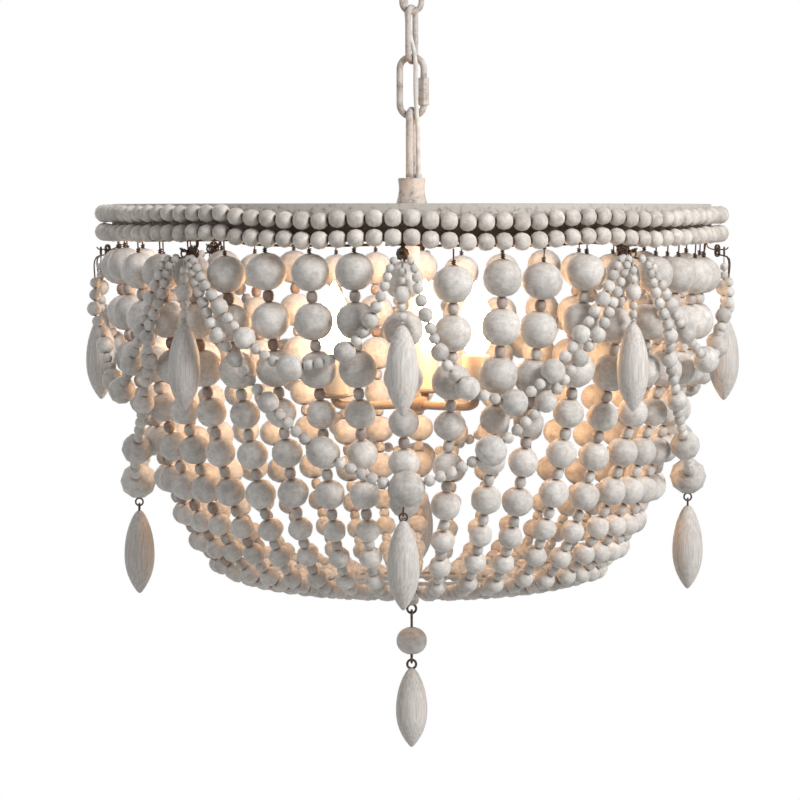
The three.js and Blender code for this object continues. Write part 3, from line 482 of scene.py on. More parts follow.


# Lamp cord
# Two fine cores in a pale jacket, threaded from the canopy past the links into the cap's bore. It
# is made in four stretches, one over each contact of the chain.

cord_diameter = 0.0036
cord_route = np.array([
    (-5.5, 13.5, -14), (-5.5, 13.3, -22), (-5.5, 12.4, -32), (-5.4, 10, -42), (-5.3, 7.8, -52),
    (-5, 6.6, -63), (-4.8, 6.2, -75), (-4.5, 6.1, -85), (-4, 5.6, -93), (-2.9, 4, -101),
    (-1.4, 1.8, -108), (-0.1, -0.5, -114), (1.3, -3, -120), (2.4, -5.2, -125.5), (3, -6.2, -132),
    (3, -6.4, -142), (3, -6.4, -152), (3.5, -6.4, -164), (4.3, -6.1, -176), (4.9, -5.7, -186),
    (5.1, -4.8, -198), (5.3, -3.8, -210), (5.3, -3, -220), (5.3, -2.8, -228),
]) / 1000


def smooth_route(points, steps=24):
    """A curve through points, by cubic pieces whose slopes weigh each span by the square root of
    its length. The ends run on as mirror images of their first and last spans."""
    points = np.asarray(points, float)
    ends = 2 * points[0] - points[1], 2 * points[-1] - points[-2]
    p = np.concatenate([[ends[0]], points, [ends[1]]])
    span = np.linalg.norm(np.diff(p, axis=0), axis=1)[:, None] ** 0.5
    before, here, after = span[:-2], span[1:-1], span[2:]
    a, b, c, d = p[:-3], p[1:-2], p[2:-1], p[3:]
    out = ((b - a) / before - (c - a) / (before + here) + (c - b) / here) * here
    into = ((c - b) / here - (d - b) / (here + after) + (d - c) / after) * here
    t = np.linspace(0, 1, steps, endpoint=False)[None, :, None]
    b, c, out, into = (v[:, None] for v in (b, c, out, into))
    cubic = b + out * t + (3 * (c - b) - 2 * out - into) * t**2 + (2 * (b - c) + out + into) * t**3
    return np.concatenate([cubic.reshape(-1, 3), points[-1:]])


def curve_length(curve):
    """The sum of the distances between a curve's points."""
    return float(np.linalg.norm(np.diff(curve, axis=0), axis=1).sum())


def at_lengths(curve, lengths):
    """Points and directions at these lengths along a finely sampled curve."""
    run = np.concatenate([[0], np.cumsum(np.linalg.norm(np.diff(curve, axis=0), axis=1))])
    slope = np.gradient(curve, run, axis=0)
    point, ahead = (np.stack([np.interp(lengths, run, values[:, i]) for i in range(3)], -1)
                    for values in (curve, slope))
    return point, unit(ahead)


jacket = coated("cord_jacket", mottle, {
    "Dark": linear(206, 202, 198), "Pale": linear(232, 230, 227), "Scale": (160.0,) * 3, "Detail": 2.0,
    "Low": 0.35, "High": 0.65,
}, Roughness=0.35, Subsurface_Weight=0.15, Subsurface_Scale=0.001)
cord_curve = smooth_route(cord_route, 40)
for i in range(4):
    node_name = f"lamp_cord_{i + 1}"
    low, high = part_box(node_name)
    stretch = cord_curve[(cord_curve[:, 2] < high.z + 0.0002) & (cord_curve[:, 2] > low.z - 0.0002)]
    stretch, _ = at_lengths(stretch, np.linspace(0, curve_length(stretch), 48))
    piece = surface(f"cord_stretch_{i + 1}", node_name, jacket, "lamp_cord",
                    tube(stretch, (1, 0.3, 0), cord_diameter / 2, 12), body=None)
    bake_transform(piece)


# Ring frame
# A band of steel strip on four flat spokes, painted a greyish white that brown shows through.
# The beads of the ring hide most of the band from outside. Its outer face turns brown towards its
# foot, as painted shade behind the beads.

fixture_turn = math.radians(-1.6)
hook_step = math.pi / 4
hook_shifts = np.radians([0, -1.6, 0, 0, 0, 0, 0, 3.2])


def hook_angle(i):
    """How far round hook i stands, counted from the front one."""
    return i * hook_step + hook_shifts[i % 8]


def turned_round(rings, angle):
    """Points turned about the fixture's upright axis, starting from the front."""
    c, s = math.cos(angle), math.sin(angle)
    return np.asarray(rings) @ np.array([[c, s, 0], [-s, c, 0], [0, 0, 1]])


def flat_bar(reach, section):
    """A section of sideways and height points carried forward from the axis over the reaches."""
    shape = len(reach), len(section)
    return np.stack([np.broadcast_to(section[:, 0], shape), np.broadcast_to(-reach[:, None], shape),
                     np.broadcast_to(section[:, 1], shape)], -1)


# The photograph shows light under the lower row, so the band ends a little higher than its solid.
band_height = 0.0334
light_gap = 0.005
band_outer = 0.2399
band_inner = 0.2375
chamfer = 0.0006
band_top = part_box("ring_frame")[1].z
band_bottom = band_top - band_height + light_gap
# Its bare brown shows where paint is rubbed, and on the band's outer face as painted shade.
ring_paint = coated("ring_paint", worn_paint, {"Wear": 0.3, "Scale": 260.0, "Paint": linear(190, 185, 178),
                                               "Bare": linear(96, 78, 66)}, paint_relief)
profile = [
    (band_outer - chamfer, band_bottom), (band_outer, band_bottom + chamfer),
    (band_outer, band_top - chamfer), (band_outer - chamfer, band_top),
    (band_inner + chamfer, band_top), (band_inner, band_top - chamfer),
    (band_inner, band_bottom + chamfer), (band_inner + chamfer, band_bottom),
]
# Painted shade: the outer face goes brown from its foot upward, behind the beads; the inner foot is a little
# brown.
band_wear = np.array([0.5, 0.5, 0.0, 0, 0, 0, 0.1, 0.2])[None, :, None]
surface("band", "ring_frame", ring_paint, "cream_metal", lathed(profile, 180), looped=True, wear=band_wear)

hub_top = cap_low.z - 0.0003
hub_bottom = hub_top - 0.005
hub_radius = 0.017
spoke_size = (0.004, 0.003)
spoke_section = np.array([
    (-0.9, 0), (0.9, 0), (1, 0.2), (1, 0.8), (0.9, 1), (-0.9, 1), (-1, 0.8), (-1, 0.2),
])
spoke = flat_bar(np.linspace(0.014, band_inner + 0.0008, 12), spoke_section * spoke_size + (0, hub_bottom))
spokes = [turned_round(spoke, fixture_turn + (i + 0.25) * math.pi / 2) for i in range(4)]
hub = turned([(hub_radius - 0.0008, hub_bottom), (hub_radius, hub_bottom + 0.0008),
              (hub_radius, hub_top - 0.0008), (hub_radius - 0.0008, hub_top)], 40, core=0.0002)
surface("spokes", "ring_frame", ring_paint, "cream_metal", np.stack(spokes))
surface("hub_disc", "ring_frame", ring_paint, "cream_metal", hub)


# Wire hooks
# Bronze wires come down from the band at eight places, one at each side and three elsewhere. Their
# ends hold a tassel's eye, and a knot wound of five loops behind it takes the ends of the swags.

bronze = {"Dark": linear(46, 33, 26), "Pale": linear(104, 82, 64), "Scale": (420.0,) * 3}
wire_metal = coated("bronze_wire", mottle, bronze, 0.00008, Metallic=0.55, Roughness=0.45)
hook_wire = 0.00055
knot_radius = 0.245
knot_depth = 0.0373
knot_size = 0.0024
knot_thickness = 0.0019
knot_loops = 5
arm_gap = 0.001
knot_shifts = np.radians([0, -1.2, 0, 0, 0, 0, 0, 1])
arm_route = np.array([
    (0, -236.5, -26), (0, -237.2, -34), (0, -241.2, -36.2), (0, -246.2, -36.3), (0, -252.2, -36.2),
    (0, -253.8, -34.5),
]) / 1000


def wire_piece(name, covered, rings, body="fixture", looped=False):
    """A piece of bare bronze wire."""
    surface(name, covered, wire_metal, "distressed_iron", rings, body, looped)


def wound(spine, turns, radius, thickness):
    """A wire wound round an upright spine: a helix of the given radius."""
    phase = 2 * math.pi * turns * np.linspace(0, 1, len(spine))
    path = spine + radius * np.stack([np.cos(phase), np.sin(phase), 0 * phase], -1)
    return tube(path, (0.1, 0.2, 0.97), thickness, 6)


arm = smooth_route(arm_route + (0, 0, band_top), 8)
arms = []
knots = []
for k in range(8):
    around = fixture_turn + hook_angle(k)
    for side in (0,) if k in (2, 6) else (-arm_gap, 0, arm_gap):
        arms.append(turned_round(tube(arm + (side, 0, abs(side)), (1, 0, 0), hook_wire, 6), around))
    turn = round_angles(48)
    spread = 1.2 if k % 2 else 1
    for loop in range(knot_loops):
        phase = 2 * turn + loop * 2 * math.pi / knot_loops
        out = spread * (knot_size + knot_thickness * np.cos(phase))
        path = np.stack([out * np.cos(turn), knot_thickness * np.sin(phase), 1.1 * out * np.sin(turn)], -1)
        path += (0, -knot_radius, band_top - knot_depth)
        knots.append(turned_round(tube(path, (0, 1, 0), hook_wire, 6, looped=True), around + knot_shifts[k]))
wire_piece("hook_arms", "ring_frame", np.stack(arms))
wire_piece("hook_coils", "ring_frame", np.stack(knots), looped=True)


# Beads of the ring
# Two rows of small turned wooden beads, strung tight round the band. They are whitewashed, and
# their touching ends are dark brown: bare wood and painted shade in the seams between them.

random = np.random.default_rng(11)


def bead_shape(square, *rings):
    """A turned bead's outline, a rounded square cut flat at the string's hole. The rings' angles from
    the middle to the flat are given, and repeated on the other side: radius shares are cos(a) and
    height shares sin(a), both to the power of 2 over the squareness, which is 2 for a ball."""
    a = np.radians([-ring for ring in rings[:0:-1]] + list(rings))
    height = np.sign(a) * abs(np.sin(a)) ** (2 / square)
    return np.cos(a) ** (2 / square), height / height[-1]


def beads(point, ahead, guide, radius, half, shape, sides=10, around=0.0):
    """Bead skins on a string, turned round the fixture's axis, as a surface's values. Each bead's own
    frame is its string's direction, the guide made square to it, and their cross product. The grain
    is a point's place in that frame moved by a random step, and to_end its share of the way from the
    middle to a flat. The skin's radius is widened, so that its many sides are as wide as the bead."""
    radial, axial = shape
    count = len(point)
    across, other = square_to(ahead, guide)
    angle = round_angles(sides)
    widened = np.broadcast_to(radius, count) * 2 / (1 + math.cos(math.pi / sides))
    r = widened[:, None, None] * radial[None, :, None]
    u = r * np.cos(angle)
    v = r * np.sin(angle)
    w = np.broadcast_to(np.broadcast_to(half, count)[:, None, None] * axial[None, :, None], u.shape)
    skins = (point[:, None, None] + u[..., None] * across[:, None, None]
             + v[..., None] * other[:, None, None] + w[..., None] * ahead[:, None, None])
    own = np.stack([u, v, w], -1) + random.uniform(0, 1, (count, 1, 1, 3))
    ends = np.broadcast_to(abs(axial)[None, :, None], u.shape)
    return {"rings": turned_round(skins, around), "grain": own, "to_end": ends}


def tones(count, low=0):
    """A random tone up to 1 for each bead, in the shape of a surface's marks."""
    return random.uniform(low, 1, count)[:, None, None]


# Fine brush lines round the bead, cloudy thin places in the wash where the wood shows, a tone for
# each bead, which bares the darkest ones, and dark brown at the bead's ends: bare wood where the
# string's hole opens, and painted shade in the seams where neighbouring beads meet.
whitewash, given, result = group(
    "whitewash",
    {"Wood": linear(130, 94, 70), "Wash": linear(230, 226, 221), "Cover": 0.8, "Streak": 900.0, "Seam": 0.6},
    ("Color", "Roughness", "Height"),
)
grain, tone, to_end = (node(whitewash, "Attribute", attribute_name=name).outputs
                       for name in ("grain", "tone", "to_end"))
around = node(whitewash, "Mapping", {"Vector": grain["Vector"], "Scale": (0.2, 0.2, 1)})
lines = {"Vector": around, "Scale": given["Streak"], "Detail": 4.0, "Roughness": 0.72}
streak = node(whitewash, "TexNoise", lines)
clouds = {"Vector": grain["Vector"], "Scale": 150.0, "Detail": 6.0, "Roughness": 0.7}
cloud = node(whitewash, "TexNoise", clouds)
blend = node(whitewash, "Mix", {"Factor": 0.5, "A": streak, "B": cloud})
worn = worked_out("ADD", blend, ranged(tone["Fac"], -1, 0, 0.4, 0))
bare = worked_out("SUBTRACT", worn, ranged(given["Cover"], 0, 1, 0.36, 0.7))
# Bead ends go dark brown: bare wood round the string's hole and painted shade in the seams.
end_brown_and_shade = worked_out("MULTIPLY", ranged(to_end["Fac"], 0.92, 1, 0, 1), given["Seam"])
wood = worked_out("MAXIMUM", ranged(bare, -0.12, 0.3, 0, 0.8), end_brown_and_shade)
shade = worked_out("MULTIPLY", ranged(streak, 0.3, 0.7, 0.79, 1.11), ranged(cloud, 0.34, 0.66, 1.08, 0.82))
shade = worked_out("MULTIPLY", shade, ranged(tone["Fac"], 0, 1, 0.84, 1.06))
toned = node(whitewash, "Mix", {"Factor": 1.0, "A": given["Wash"], "B": shade}, data_type="RGBA",
             blend_type="MULTIPLY")
colour = node(whitewash, "Mix", {"Factor": wood, "A": toned, "B": given["Wood"]}, data_type="RGBA")
height = worked_out("SUBTRACT", blend, wood)
feed(result, {"Color": colour, "Roughness": ranged(wood, 0, 1, 0.6, 0.75), "Height": height})

wash_relief = 0.0003
# The ring's seams are darkest: their brown is bare wood and painted shade between the beads.
ring_wash = coated("ring_bead_wash", whitewash, {"Cover": 0.57, "Seam": 0.9, "Wood": linear(104, 78, 60),
                                                 "Wash": linear(236, 229, 221)}, wash_relief)
ring_beads = 112
ring_bead_radius = 0.0069
ring_row_radius = 0.254 - ring_bead_radius
ring_bead_half = math.pi * ring_row_radius / ring_beads - 0.0005
ring_shape = bead_shape(2.35, 0, 32, 57, 76)
# The rows' height above level in millimetres, at angles in degrees from the front to the right.
row_rises = np.array([
    (-180, 0.5), (-90, 4.5), (-60, 3.5), (-35, 4.6), (-31.5, 0.8), (-25, 0), (-17, -1.4), (-10, 0.5),
    (0, 1.3), (3.5, -1.1), (10, -2.1), (22, -1.7), (26, 0.2), (35, 2.4), (40, 0.7), (48, -0.3),
    (60, 1), (74, 2.9), (90, 3), (180, 0.5),
])


def row_rise(angle):
    """How far the rows stand above their level place at an angle, between the measured places."""
    return np.interp((np.degrees(angle) + 180) % 360 - 180, *row_rises.T) / 1000


def ring_rise(angle):
    """How far the strands' wire follows the rows upward, and never downward."""
    return 0.85 * np.maximum(row_rise(angle), 0)


angle = (np.arange(ring_beads) + 0.5) * 2 * math.pi / ring_beads + fixture_turn
outward = np.stack([np.sin(angle), -np.cos(angle), 0 * angle], -1)
round_way = np.stack([np.cos(angle), np.sin(angle), 0 * angle], -1)
for name in ("upper_bead_row", "lower_bead_row"):
    low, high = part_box(name)
    point = outward * ring_row_radius + (0, 0, (low.z + high.z) / 2)
    point[:, 2] += row_rise(angle) + random.uniform(-0.0005, 0.0005, ring_beads)
    radius = ring_bead_radius * random.uniform(0.94, 1.0, ring_beads)
    string = beads(point, round_way, outward, radius, ring_bead_half, ring_shape, 12)
    surface(name + "_beads", name, ring_wash, "ring_bead", **string, tone=tones(ring_beads))


# Strands
# Forty wires hang from a wire under the band and gather on another at the foot. Each carries nine
# graded turned beads with a small barrel between each two, and six small beads at its lower end.

ring_radius = 0.254
basket_depth = 0.306
outline_radius_shares = np.array([0.923, 0.905, 0.877, 0.845, 0.808, 0.768, 0.712, 0.658, 0.59, 0.46])
outline_depth_shares = np.array([0.1745, 0.287, 0.41, 0.52, 0.6215, 0.722, 0.825, 0.897, 0.955, 0.987])
carrier_radius = 0.2358
carrier_depth = 0.0314
carrier_wire = 0.002
foot_radius = 0.07
gather_wire = 0.003
strand_wire = 0.0012
large_beads = np.array([29, 29, 29, 23, 23, 23, 18, 17, 15]) / 1000
large_pitches = np.array([23.6, 37, 37, 34.7, 32.3, 32.5, 31, 25, 24.5]) / 1000
barrel_radius = 0.0086 / 2
tail_beads = 6
tail_radius_limit = 0.0061
strand_pitch = math.radians(9)
flattened = 0.97
hook_inset = 0.0025
top_knot_height = 0.0036
top_knot_turns = 2.3
top_knot_radius = 0.0013
strand_wash = coated("strand_wash", whitewash, {"Cover": 0.76}, wash_relief)
# How far each wire's beads hang below their place in the model, in millimetres, and how far it
# leans, in degrees, from the front one round. They are tied by hand, and no two hang quite alike.
strand_slack = [
    2.4, 5, 0.5, 3, -3, 1, -1, 0, 1.5, 1.5, 1, 0.5, -1, 2, -2, 1, 0, -2.5, 1.5, 3,
    -1, 0, 2, -1.5, 1, -2, 0.5, 2.5, -4.5, -3.5, -5, -5.5, -6.5, -3, -2.5, -2, -1.5, -4, -3.5, -4.3,
]
strand_leans = [
    0, 0.3, 0.6, -1, -0.8, 0, 0.3, -0.3, 0.2, 0, 0.4, -0.5, 0.6, 0.2, -0.4, 0, 0.5, -0.6, 0.3, 0.1,
    -0.2, 0.4, -0.5, 0.2, 0.6, 0, -0.4, 0.3, -0.2, 0.5, 0, 0.4, 0.7, 0.3, 0.8, 0.6, 1.4, 1.4, 1.2, 0.2,
]


def in_front(radius, turn, depth):
    """Points at a radius, an angle from the front, and a depth below the band's upper edge."""
    return np.stack([radius * np.sin(turn), -radius * np.cos(turn), band_top - depth], -1)


def strand_line(inset=0.0, lean=0.0):
    """The front strand's line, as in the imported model, with its top moved in by an inset. A leaning
    wire is turned round by up to its lean, as the sine of its way down, and is back at the foot."""
    fade = inset * np.maximum(0, 1 - outline_depth_shares)
    radius = np.concatenate([[carrier_radius], outline_radius_shares * ring_radius - fade, [foot_radius]])
    depth = np.concatenate([[carrier_depth], outline_depth_shares * basket_depth, [basket_depth]])
    turn = math.radians(lean) * np.sin(math.pi * depth / basket_depth) ** 0.6
    return smooth_route(in_front(radius, turn, depth))


large_at = np.cumsum(large_pitches)
large_half = large_beads / 2 * flattened
gap_low = large_at[:-1] + large_half[:-1]
gap_high = large_at[1:] - large_half[1:]
barrel_at = (gap_low + gap_high) / 2
barrel_half = np.clip((gap_high - gap_low) / 2 - 0.0001, 0.0015, 0.0044)
large_shape = bead_shape(2.06, 0, 21, 42, 62, 81)
small_shape = bead_shape(2.6, 0, 35, 66)

for g in range(8):
    covered = f"strand_group_{g + 1}"
    large_parts = []
    small_parts = []
    wires = []
    for i in range(5):
        line = strand_line(0.0 if i else hook_inset, strand_leans[5 * g + i])
        length = curve_length(line)
        around = fixture_turn + g * hook_step + i * strand_pitch
        slack = strand_slack[5 * g + i] / 1000
        tail_start = large_at[-1] + large_half[-1] + slack
        tail_pitch = (length - tail_start) / tail_beads
        tail_at = tail_start + tail_pitch * (np.arange(tail_beads) + 0.5)
        from_axis = -at_lengths(line, tail_at)[0][:, 1]
        tail_radius = np.minimum(tail_radius_limit, from_axis * math.sin(strand_pitch / 2) - 0.0002)
        small_radius = np.concatenate([np.full(8, barrel_radius), tail_radius])
        small_half = np.concatenate([barrel_half, np.minimum(tail_pitch / 2 - 0.0002, tail_radius * 0.95)])
        point, ahead = at_lengths(line, large_at + slack)
        radius = large_beads / 2 * random.uniform(0.98, 1.05, 9)
        string = beads(point, ahead, (1, 0, 0), radius, large_half, large_shape, around=around)
        large_parts.append({**string, "tone": tones(9)})
        point, ahead = at_lengths(line, np.concatenate([barrel_at + slack, tail_at]))
        string = beads(point, ahead, (1, 0, 0), small_radius, small_half, small_shape, around=around)
        # The barrels are browner and darker towards each strand's top and on the fixture's left side.
        top_and_left_darkening = np.linspace(0.7, -0.1, 8) - 0.4 * math.sin(around)
        barrel_tones = (random.uniform(-0.4, 0.6, 8) - top_and_left_darkening)[:, None, None]
        small_parts.append({**string, "tone": np.concatenate([barrel_tones, tones(tail_beads)])})
        point, _ = at_lengths(line, np.linspace(0, length, 39))
        point = np.concatenate([[point[0] + (0, 0, 0.001 + ring_rise(around))], point])
        wires.append(turned_round(tube(point, (1, 0, 0), strand_wire / 2, 6), around))
        bead_top = at_lengths(line, large_at[:1] + slack - large_half[0])[0][0]
        spine = np.linspace(bead_top + (0, 0, top_knot_height), bead_top, 40)
        wires.append(turned_round(wound(spine, top_knot_turns, top_knot_radius, hook_wire), around))
    for name, parts in (("strand_beads", large_parts), ("strand_small_beads", small_parts)):
        joined = {key: np.concatenate([part[key] for part in parts]) for key in parts[0]}
        surface(f"{name}_{g + 1}", covered, strand_wash, "strand_bead", **joined)
    angle = np.linspace(-0.35, 4.35, 40) * strand_pitch
    around = fixture_turn + g * hook_step
    carrier = in_front(carrier_radius, angle, carrier_depth - ring_rise(angle + around))
    gather = in_front(foot_radius, angle, np.full(40, basket_depth))
    for path, wire in ((carrier, carrier_wire), (gather, gather_wire)):
        wires.append(turned_round(tube(path, (0, 0, 1), wire / 2, 6), around))
    wire_piece(f"strand_wires_{g + 1}", covered, np.stack(wires))


# Swags
# Strings of small round beads with larger ones towards the middle, draped over the strands from
# the hooks: a deep and a shallow one by turns between neighbours, and four long ones below.

swag_top_depth = 0.0434
long_sag = 0.17
long_sag_shares = np.array([1, 1.03, 1.03, 1.06])
small_bead = 0.008
swag_wire = 0.0012
bare_end = 0.0075
side_bare_end = 0.028
clearance = 0.0003
shallow_string = [6.2, 6.4, 7, 7.8, 8.4, 9.4, 13.2, 8.4, 8.4, 17, 8.5, 8.5, 8.5, 21.5]
deep_string = [6.2, 6.5, 7, 8.6, 9.8, 11.8, 9.4, 8.4, 14, 8.7, 9.5, 18.3, 8.7, 8.7, 21.5]
long_string = [6.4, 6.6, 7, 7.5, 9, 9, 9, 9, 12.5, 9, 14, 9, 9, 9, 17, 9, 9, 9, 9, 24, 9, 9, 9, 9, 9, 28.5]
deep_middle = deep_string[-1] / 1000
long_middle = long_string[-1] / 1000
swag_wash = coated("swag_wash", whitewash, {"Cover": 0.72, "Seam": 0.7, "Wood": linear(104, 78, 60)},
                   wash_relief)
round_shape = bead_shape(2.1, 0, 30, 57, 81)
plain_line = strand_line()


def strand_reach(depth):
    """How far out the strands' beads reach at a depth below the band's upper edge."""
    centre = np.interp(depth, band_top - plain_line[:, 2], -plain_line[:, 1])
    upper, lower = outline_depth_shares[2:4] * basket_depth
    share = np.clip((depth - upper) / (lower - upper), 0, 1)
    return centre + (large_beads[2] + (large_beads[3] - large_beads[2]) * share) / 2


def swag_line(hooks, low, offsets, sag, rises, largest):
    """A swag's line between two hooks' angles. From its low point to each end, u goes from 0 to 1:
    the height is a share of the sag given by that side's rise, the way round goes from the low
    point's angle to the offset before the hook, faster near the hook, and the line lies on the
    strands by half its bead. At last it turns in to the hook's knot."""
    step = np.arange(-14, 15)
    u = np.abs(step) / 14
    left = step < 0
    angle = np.zeros(29)
    for side, hook, (offset, pull) in zip((left, ~left), hooks, offsets):
        sign = np.sign(hook - low)
        straight = low + (hook - sign * math.radians(offset + pull) - low) * u
        angle = np.where(side, straight + sign * math.radians(pull) * u**2, angle)
    depth = swag_top_depth + sag * (1 - np.where(left, rises[0](u), rises[1](u)))
    reach = strand_reach(depth)
    top_reach = strand_reach(outline_depth_shares[0] * basket_depth)
    reach = np.where(u > 0.8, np.maximum(top_reach, reach), reach)
    radius = reach + (largest + (small_bead - largest) * u) / 2 + clearance
    knot_low = knot_depth + 0.003
    return smooth_route(in_front(
        np.concatenate([[knot_radius], radius, [knot_radius]]),
        np.concatenate([hooks[:1], angle, hooks[1:]]),
        np.concatenate([[knot_low], depth, [knot_low]]),
    ))


def swag(name, covered, line, half_string, around, skipped=0, first_bare=bare_end):
    """Beads touch each other along the line: half a string, then its mirror image past the middle
    bead, less the beads skipped at its start. Bare wire shows at its two ends and in the seams."""
    diameter = np.array((half_string + half_string[-2::-1])[skipped:]) / 1000
    length = curve_length(line)
    pitch = diameter * (length - first_bare - bare_end) / diameter.sum()
    point, ahead = at_lengths(line, first_bare + np.cumsum(pitch) - pitch / 2)
    outward = unit(point * (1, 1, 0))
    radius = diameter / 2 * random.uniform(0.96, 1.02, len(diameter))
    half = np.minimum(pitch / 2 - 0.00005, radius)
    string = beads(point, ahead, outward, radius, half, round_shape, around=around)
    surface(name + "_beads", covered, swag_wash, "swag_bead", **string, tone=tones(len(diameter), -0.2))
    point, _ = at_lengths(line, np.linspace(0, length, 90))
    wire = tube(point, point * (1, 1, 0), swag_wire / 2, 6)
    wire_piece(name + "_wire", covered, turned_round(wire, around))


# Deep and shallow: the side that the near hook's swag goes to, its low point's angle from there in
# degrees, the offset and pull at its far hook, its share of the long sag, and half its beads.
kinds = (
    (1, 20.4, (4, 4), 0.616, deep_string),
    (-1, 20.6, (3.2, 2.4), 0.465, shallow_string),
)
near_offsets = (1.6, 0.3)
short_rises = (lambda u: 0.13 * u + 0.87 * u**4, lambda u: 0.4 * u + 0.6 * u**2.5)
long_rises = (lambda u: 0.3 * u + 0.7 * u**3,) * 2

for k in range(8):
    way, low, far_offsets, sag_share, string = kinds[k % 2]
    near, other = (k, k + 1) if way > 0 else (k + 1, k)
    hooks = np.array([0, hook_angle(other) - hook_angle(near)])
    line = swag_line(hooks, way * math.radians(low), (near_offsets, far_offsets), long_sag * sag_share,
                     short_rises, deep_middle)
    start = (3, side_bare_end) if near in (2, 6) else (0, bare_end)
    around = fixture_turn + hook_angle(near)
    swag(f"short_string_{k + 1}", f"short_swag_{k + 1}", line, string, around, *start)

for k in range(4):
    middle = hook_angle(2 * k)
    hooks = np.array([hook_angle(2 * k + 7) - 2 * math.pi - middle, hook_angle(2 * k + 1) - middle])
    line = swag_line(hooks, 0, ((2, 1.2),) * 2, long_sag * long_sag_shares[k], long_rises, long_middle)
    swag(f"long_string_{k + 1}", f"long_swag_{k + 1}", line, long_string, fixture_turn + middle)


# Wire eyes under the long swags
# The wire of each long swag's middle bead comes down as a small closed eye for its low drop.

eye_wire_diameter = 0.0014
eye_radius = 0.003
eye_stem = 0.012
low_depths = swag_top_depth + long_sag * long_sag_shares
low_radii = strand_reach(low_depths) + long_middle / 2 + clearance
eye_tops = band_top - low_depths - (long_middle - eye_wire_diameter) / 2


def wire_eye(name, covered, top, plane_angle, middle=(0, 0), around=0.0, body="fixture",
             size=(eye_radius, eye_wire_diameter)):
    """A closed round eye of wire, its upper wire's middle at the given height. Its size is its
    radius and the wire's diameter."""
    radius, wire = size
    angle = round_angles(24)
    figure = np.stack([radius * np.cos(angle), top - radius + radius * np.sin(angle)], -1)
    path = upright_figure(figure, plane_angle) + (*middle, 0)
    sideways = (-math.sin(plane_angle), math.cos(plane_angle), 0)
    ring = tube(path, sideways, wire / 2, 8, looped=True)
    wire_piece(name, covered, turned_round(ring, around), body, looped=True)


for k in range(4):
    around = fixture_turn + hook_angle(2 * k)
    covered = f"long_swag_{k + 1}"
    place = (0, -low_radii[k])
    wire_eye(f"swag_eye_{k + 1}", covered, eye_tops[k], math.pi / 2, place, around)
    stem = np.linspace((*place, eye_tops[k]), (*place, eye_tops[k] + eye_stem), 4)
    stem = tube(stem, (1, 0, 0), eye_wire_diameter / 2, 6)
    wire_piece(f"swag_eye_stem_{k + 1}", covered, turned_round(stem, around))


# Tassels and low drops
# At each hook a wire eye carries two small beads, a round one, two more and a turned spindle.
# Under each long swag a spindle hangs by its own eye.

drop_wash = coated("drop_wash", whitewash, {"Cover": 0.66, "Seam": 0.4, "Streak": 500.0}, wash_relief)
drop_length = 0.067
drop_radius = 0.01225
tassel_place = (0, -0.2505)
tassel_top_depth = 0.0504
neck_turns = 2.4
neck_wind_radius = 0.0016
neck_wire = 0.0005
tassel_beads = np.array([6.6, 6.8, 13.1, 6.6, 6.6]) / 1000
spindle_shares = np.array([0, 0.015, 0.05, 0.11, 0.19, 0.28, 0.37, 0.46, 0.54, 0.62, 0.7, 0.78, 0.86, 0.93,
                           0.98, 1.0])
spindle_widths = np.array([0.1, 0.22, 0.37, 0.54, 0.71, 0.85, 0.94, 0.99, 1.0, 0.98, 0.91, 0.79, 0.6, 0.38,
                           0.18, 0.06])


def spindle(name, covered, body, top, length, radius=drop_radius, middle=(0, 0), around=0.0, sides=20,
            tone=None):
    """A turned spindle: an almond with its fullest ring just below the middle and blunt ends."""
    profile = np.stack([spindle_widths * radius, top - spindle_shares * length], -1)[::-1]
    rings = lathed(profile, sides, middle)
    own = (rings - (*middle, top)) * (5, 5, 0.2) + random.uniform(0, 1, 3)
    ends = abs(spindle_shares[::-1] * 2 - 1) > 0.99
    surface(name, covered, drop_wash, "turned_drop", turned_round(rings, around), body, grain=own[None],
            to_end=ends[None, :, None], tone=random.uniform(0, 1) if tone is None else tone)


for k in range(8):
    covered = f"tassel_{k + 1}"
    body = covered + "_body"
    low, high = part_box(covered)
    around = fixture_turn + hook_angle(k)
    top = high.z - eye_wire_diameter / 2
    drop_top = low.z + drop_length
    wire_eye(f"tassel_eye_{k + 1}", covered, top, 0, tassel_place, around, body)
    core = np.linspace((*tassel_place, top - 2 * eye_radius), (*tassel_place, drop_top - 0.001), 40)
    neck = np.linspace((*tassel_place, drop_top + 0.0035), (*tassel_place, drop_top - 0.002), 40)
    wires = np.stack([tube(core, (1, 0, 0), eye_wire_diameter / 2, 6),
                      wound(neck, neck_turns, neck_wind_radius, neck_wire)])
    surface(f"tassel_wire_{k + 1}", covered, chain_paint, "distressed_iron",
            turned_round(wires, around), body)
    depth = tassel_top_depth - tassel_beads[0] / 2 + np.cumsum(tassel_beads) - tassel_beads / 2
    point = (*tassel_place, band_top) - depth[:, None] * (0, 0, 1)
    down = np.tile((0.0, 0, -1), (5, 1))
    radius = tassel_beads / 2
    string = beads(point, down, (1, 0, 0), radius, radius * flattened, round_shape, 12, around)
    surface(f"tassel_beads_{k + 1}", covered, swag_wash, "turned_drop", **string, body=body,
            tone=tones(5, 0.1))
    spindle(f"tassel_drop_{k + 1}", covered, body, drop_top, drop_length, middle=tassel_place, around=around)

for k in range(4):
    covered = f"low_drop_{k + 1}"
    body = covered + "_body"
    low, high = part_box(covered)
    around = fixture_turn + hook_angle(2 * k)
    place = (0, -low_radii[k])
    top = high.z - eye_wire_diameter / 2
    wire_eye(f"low_drop_eye_{k + 1}", covered, top, 0, place, around, body)
    drop_top = top - 2 * eye_radius + eye_wire_diameter / 4
    spindle(f"low_drop_spindle_{k + 1}", covered, body, drop_top, drop_top - low.z, middle=place,
            around=around, sides=24)


# Foot ring
# A ring of heavy wire inside the strands' lower ends, with two flat bars across it and a turned
# boss in the middle whose eye carries the finial.

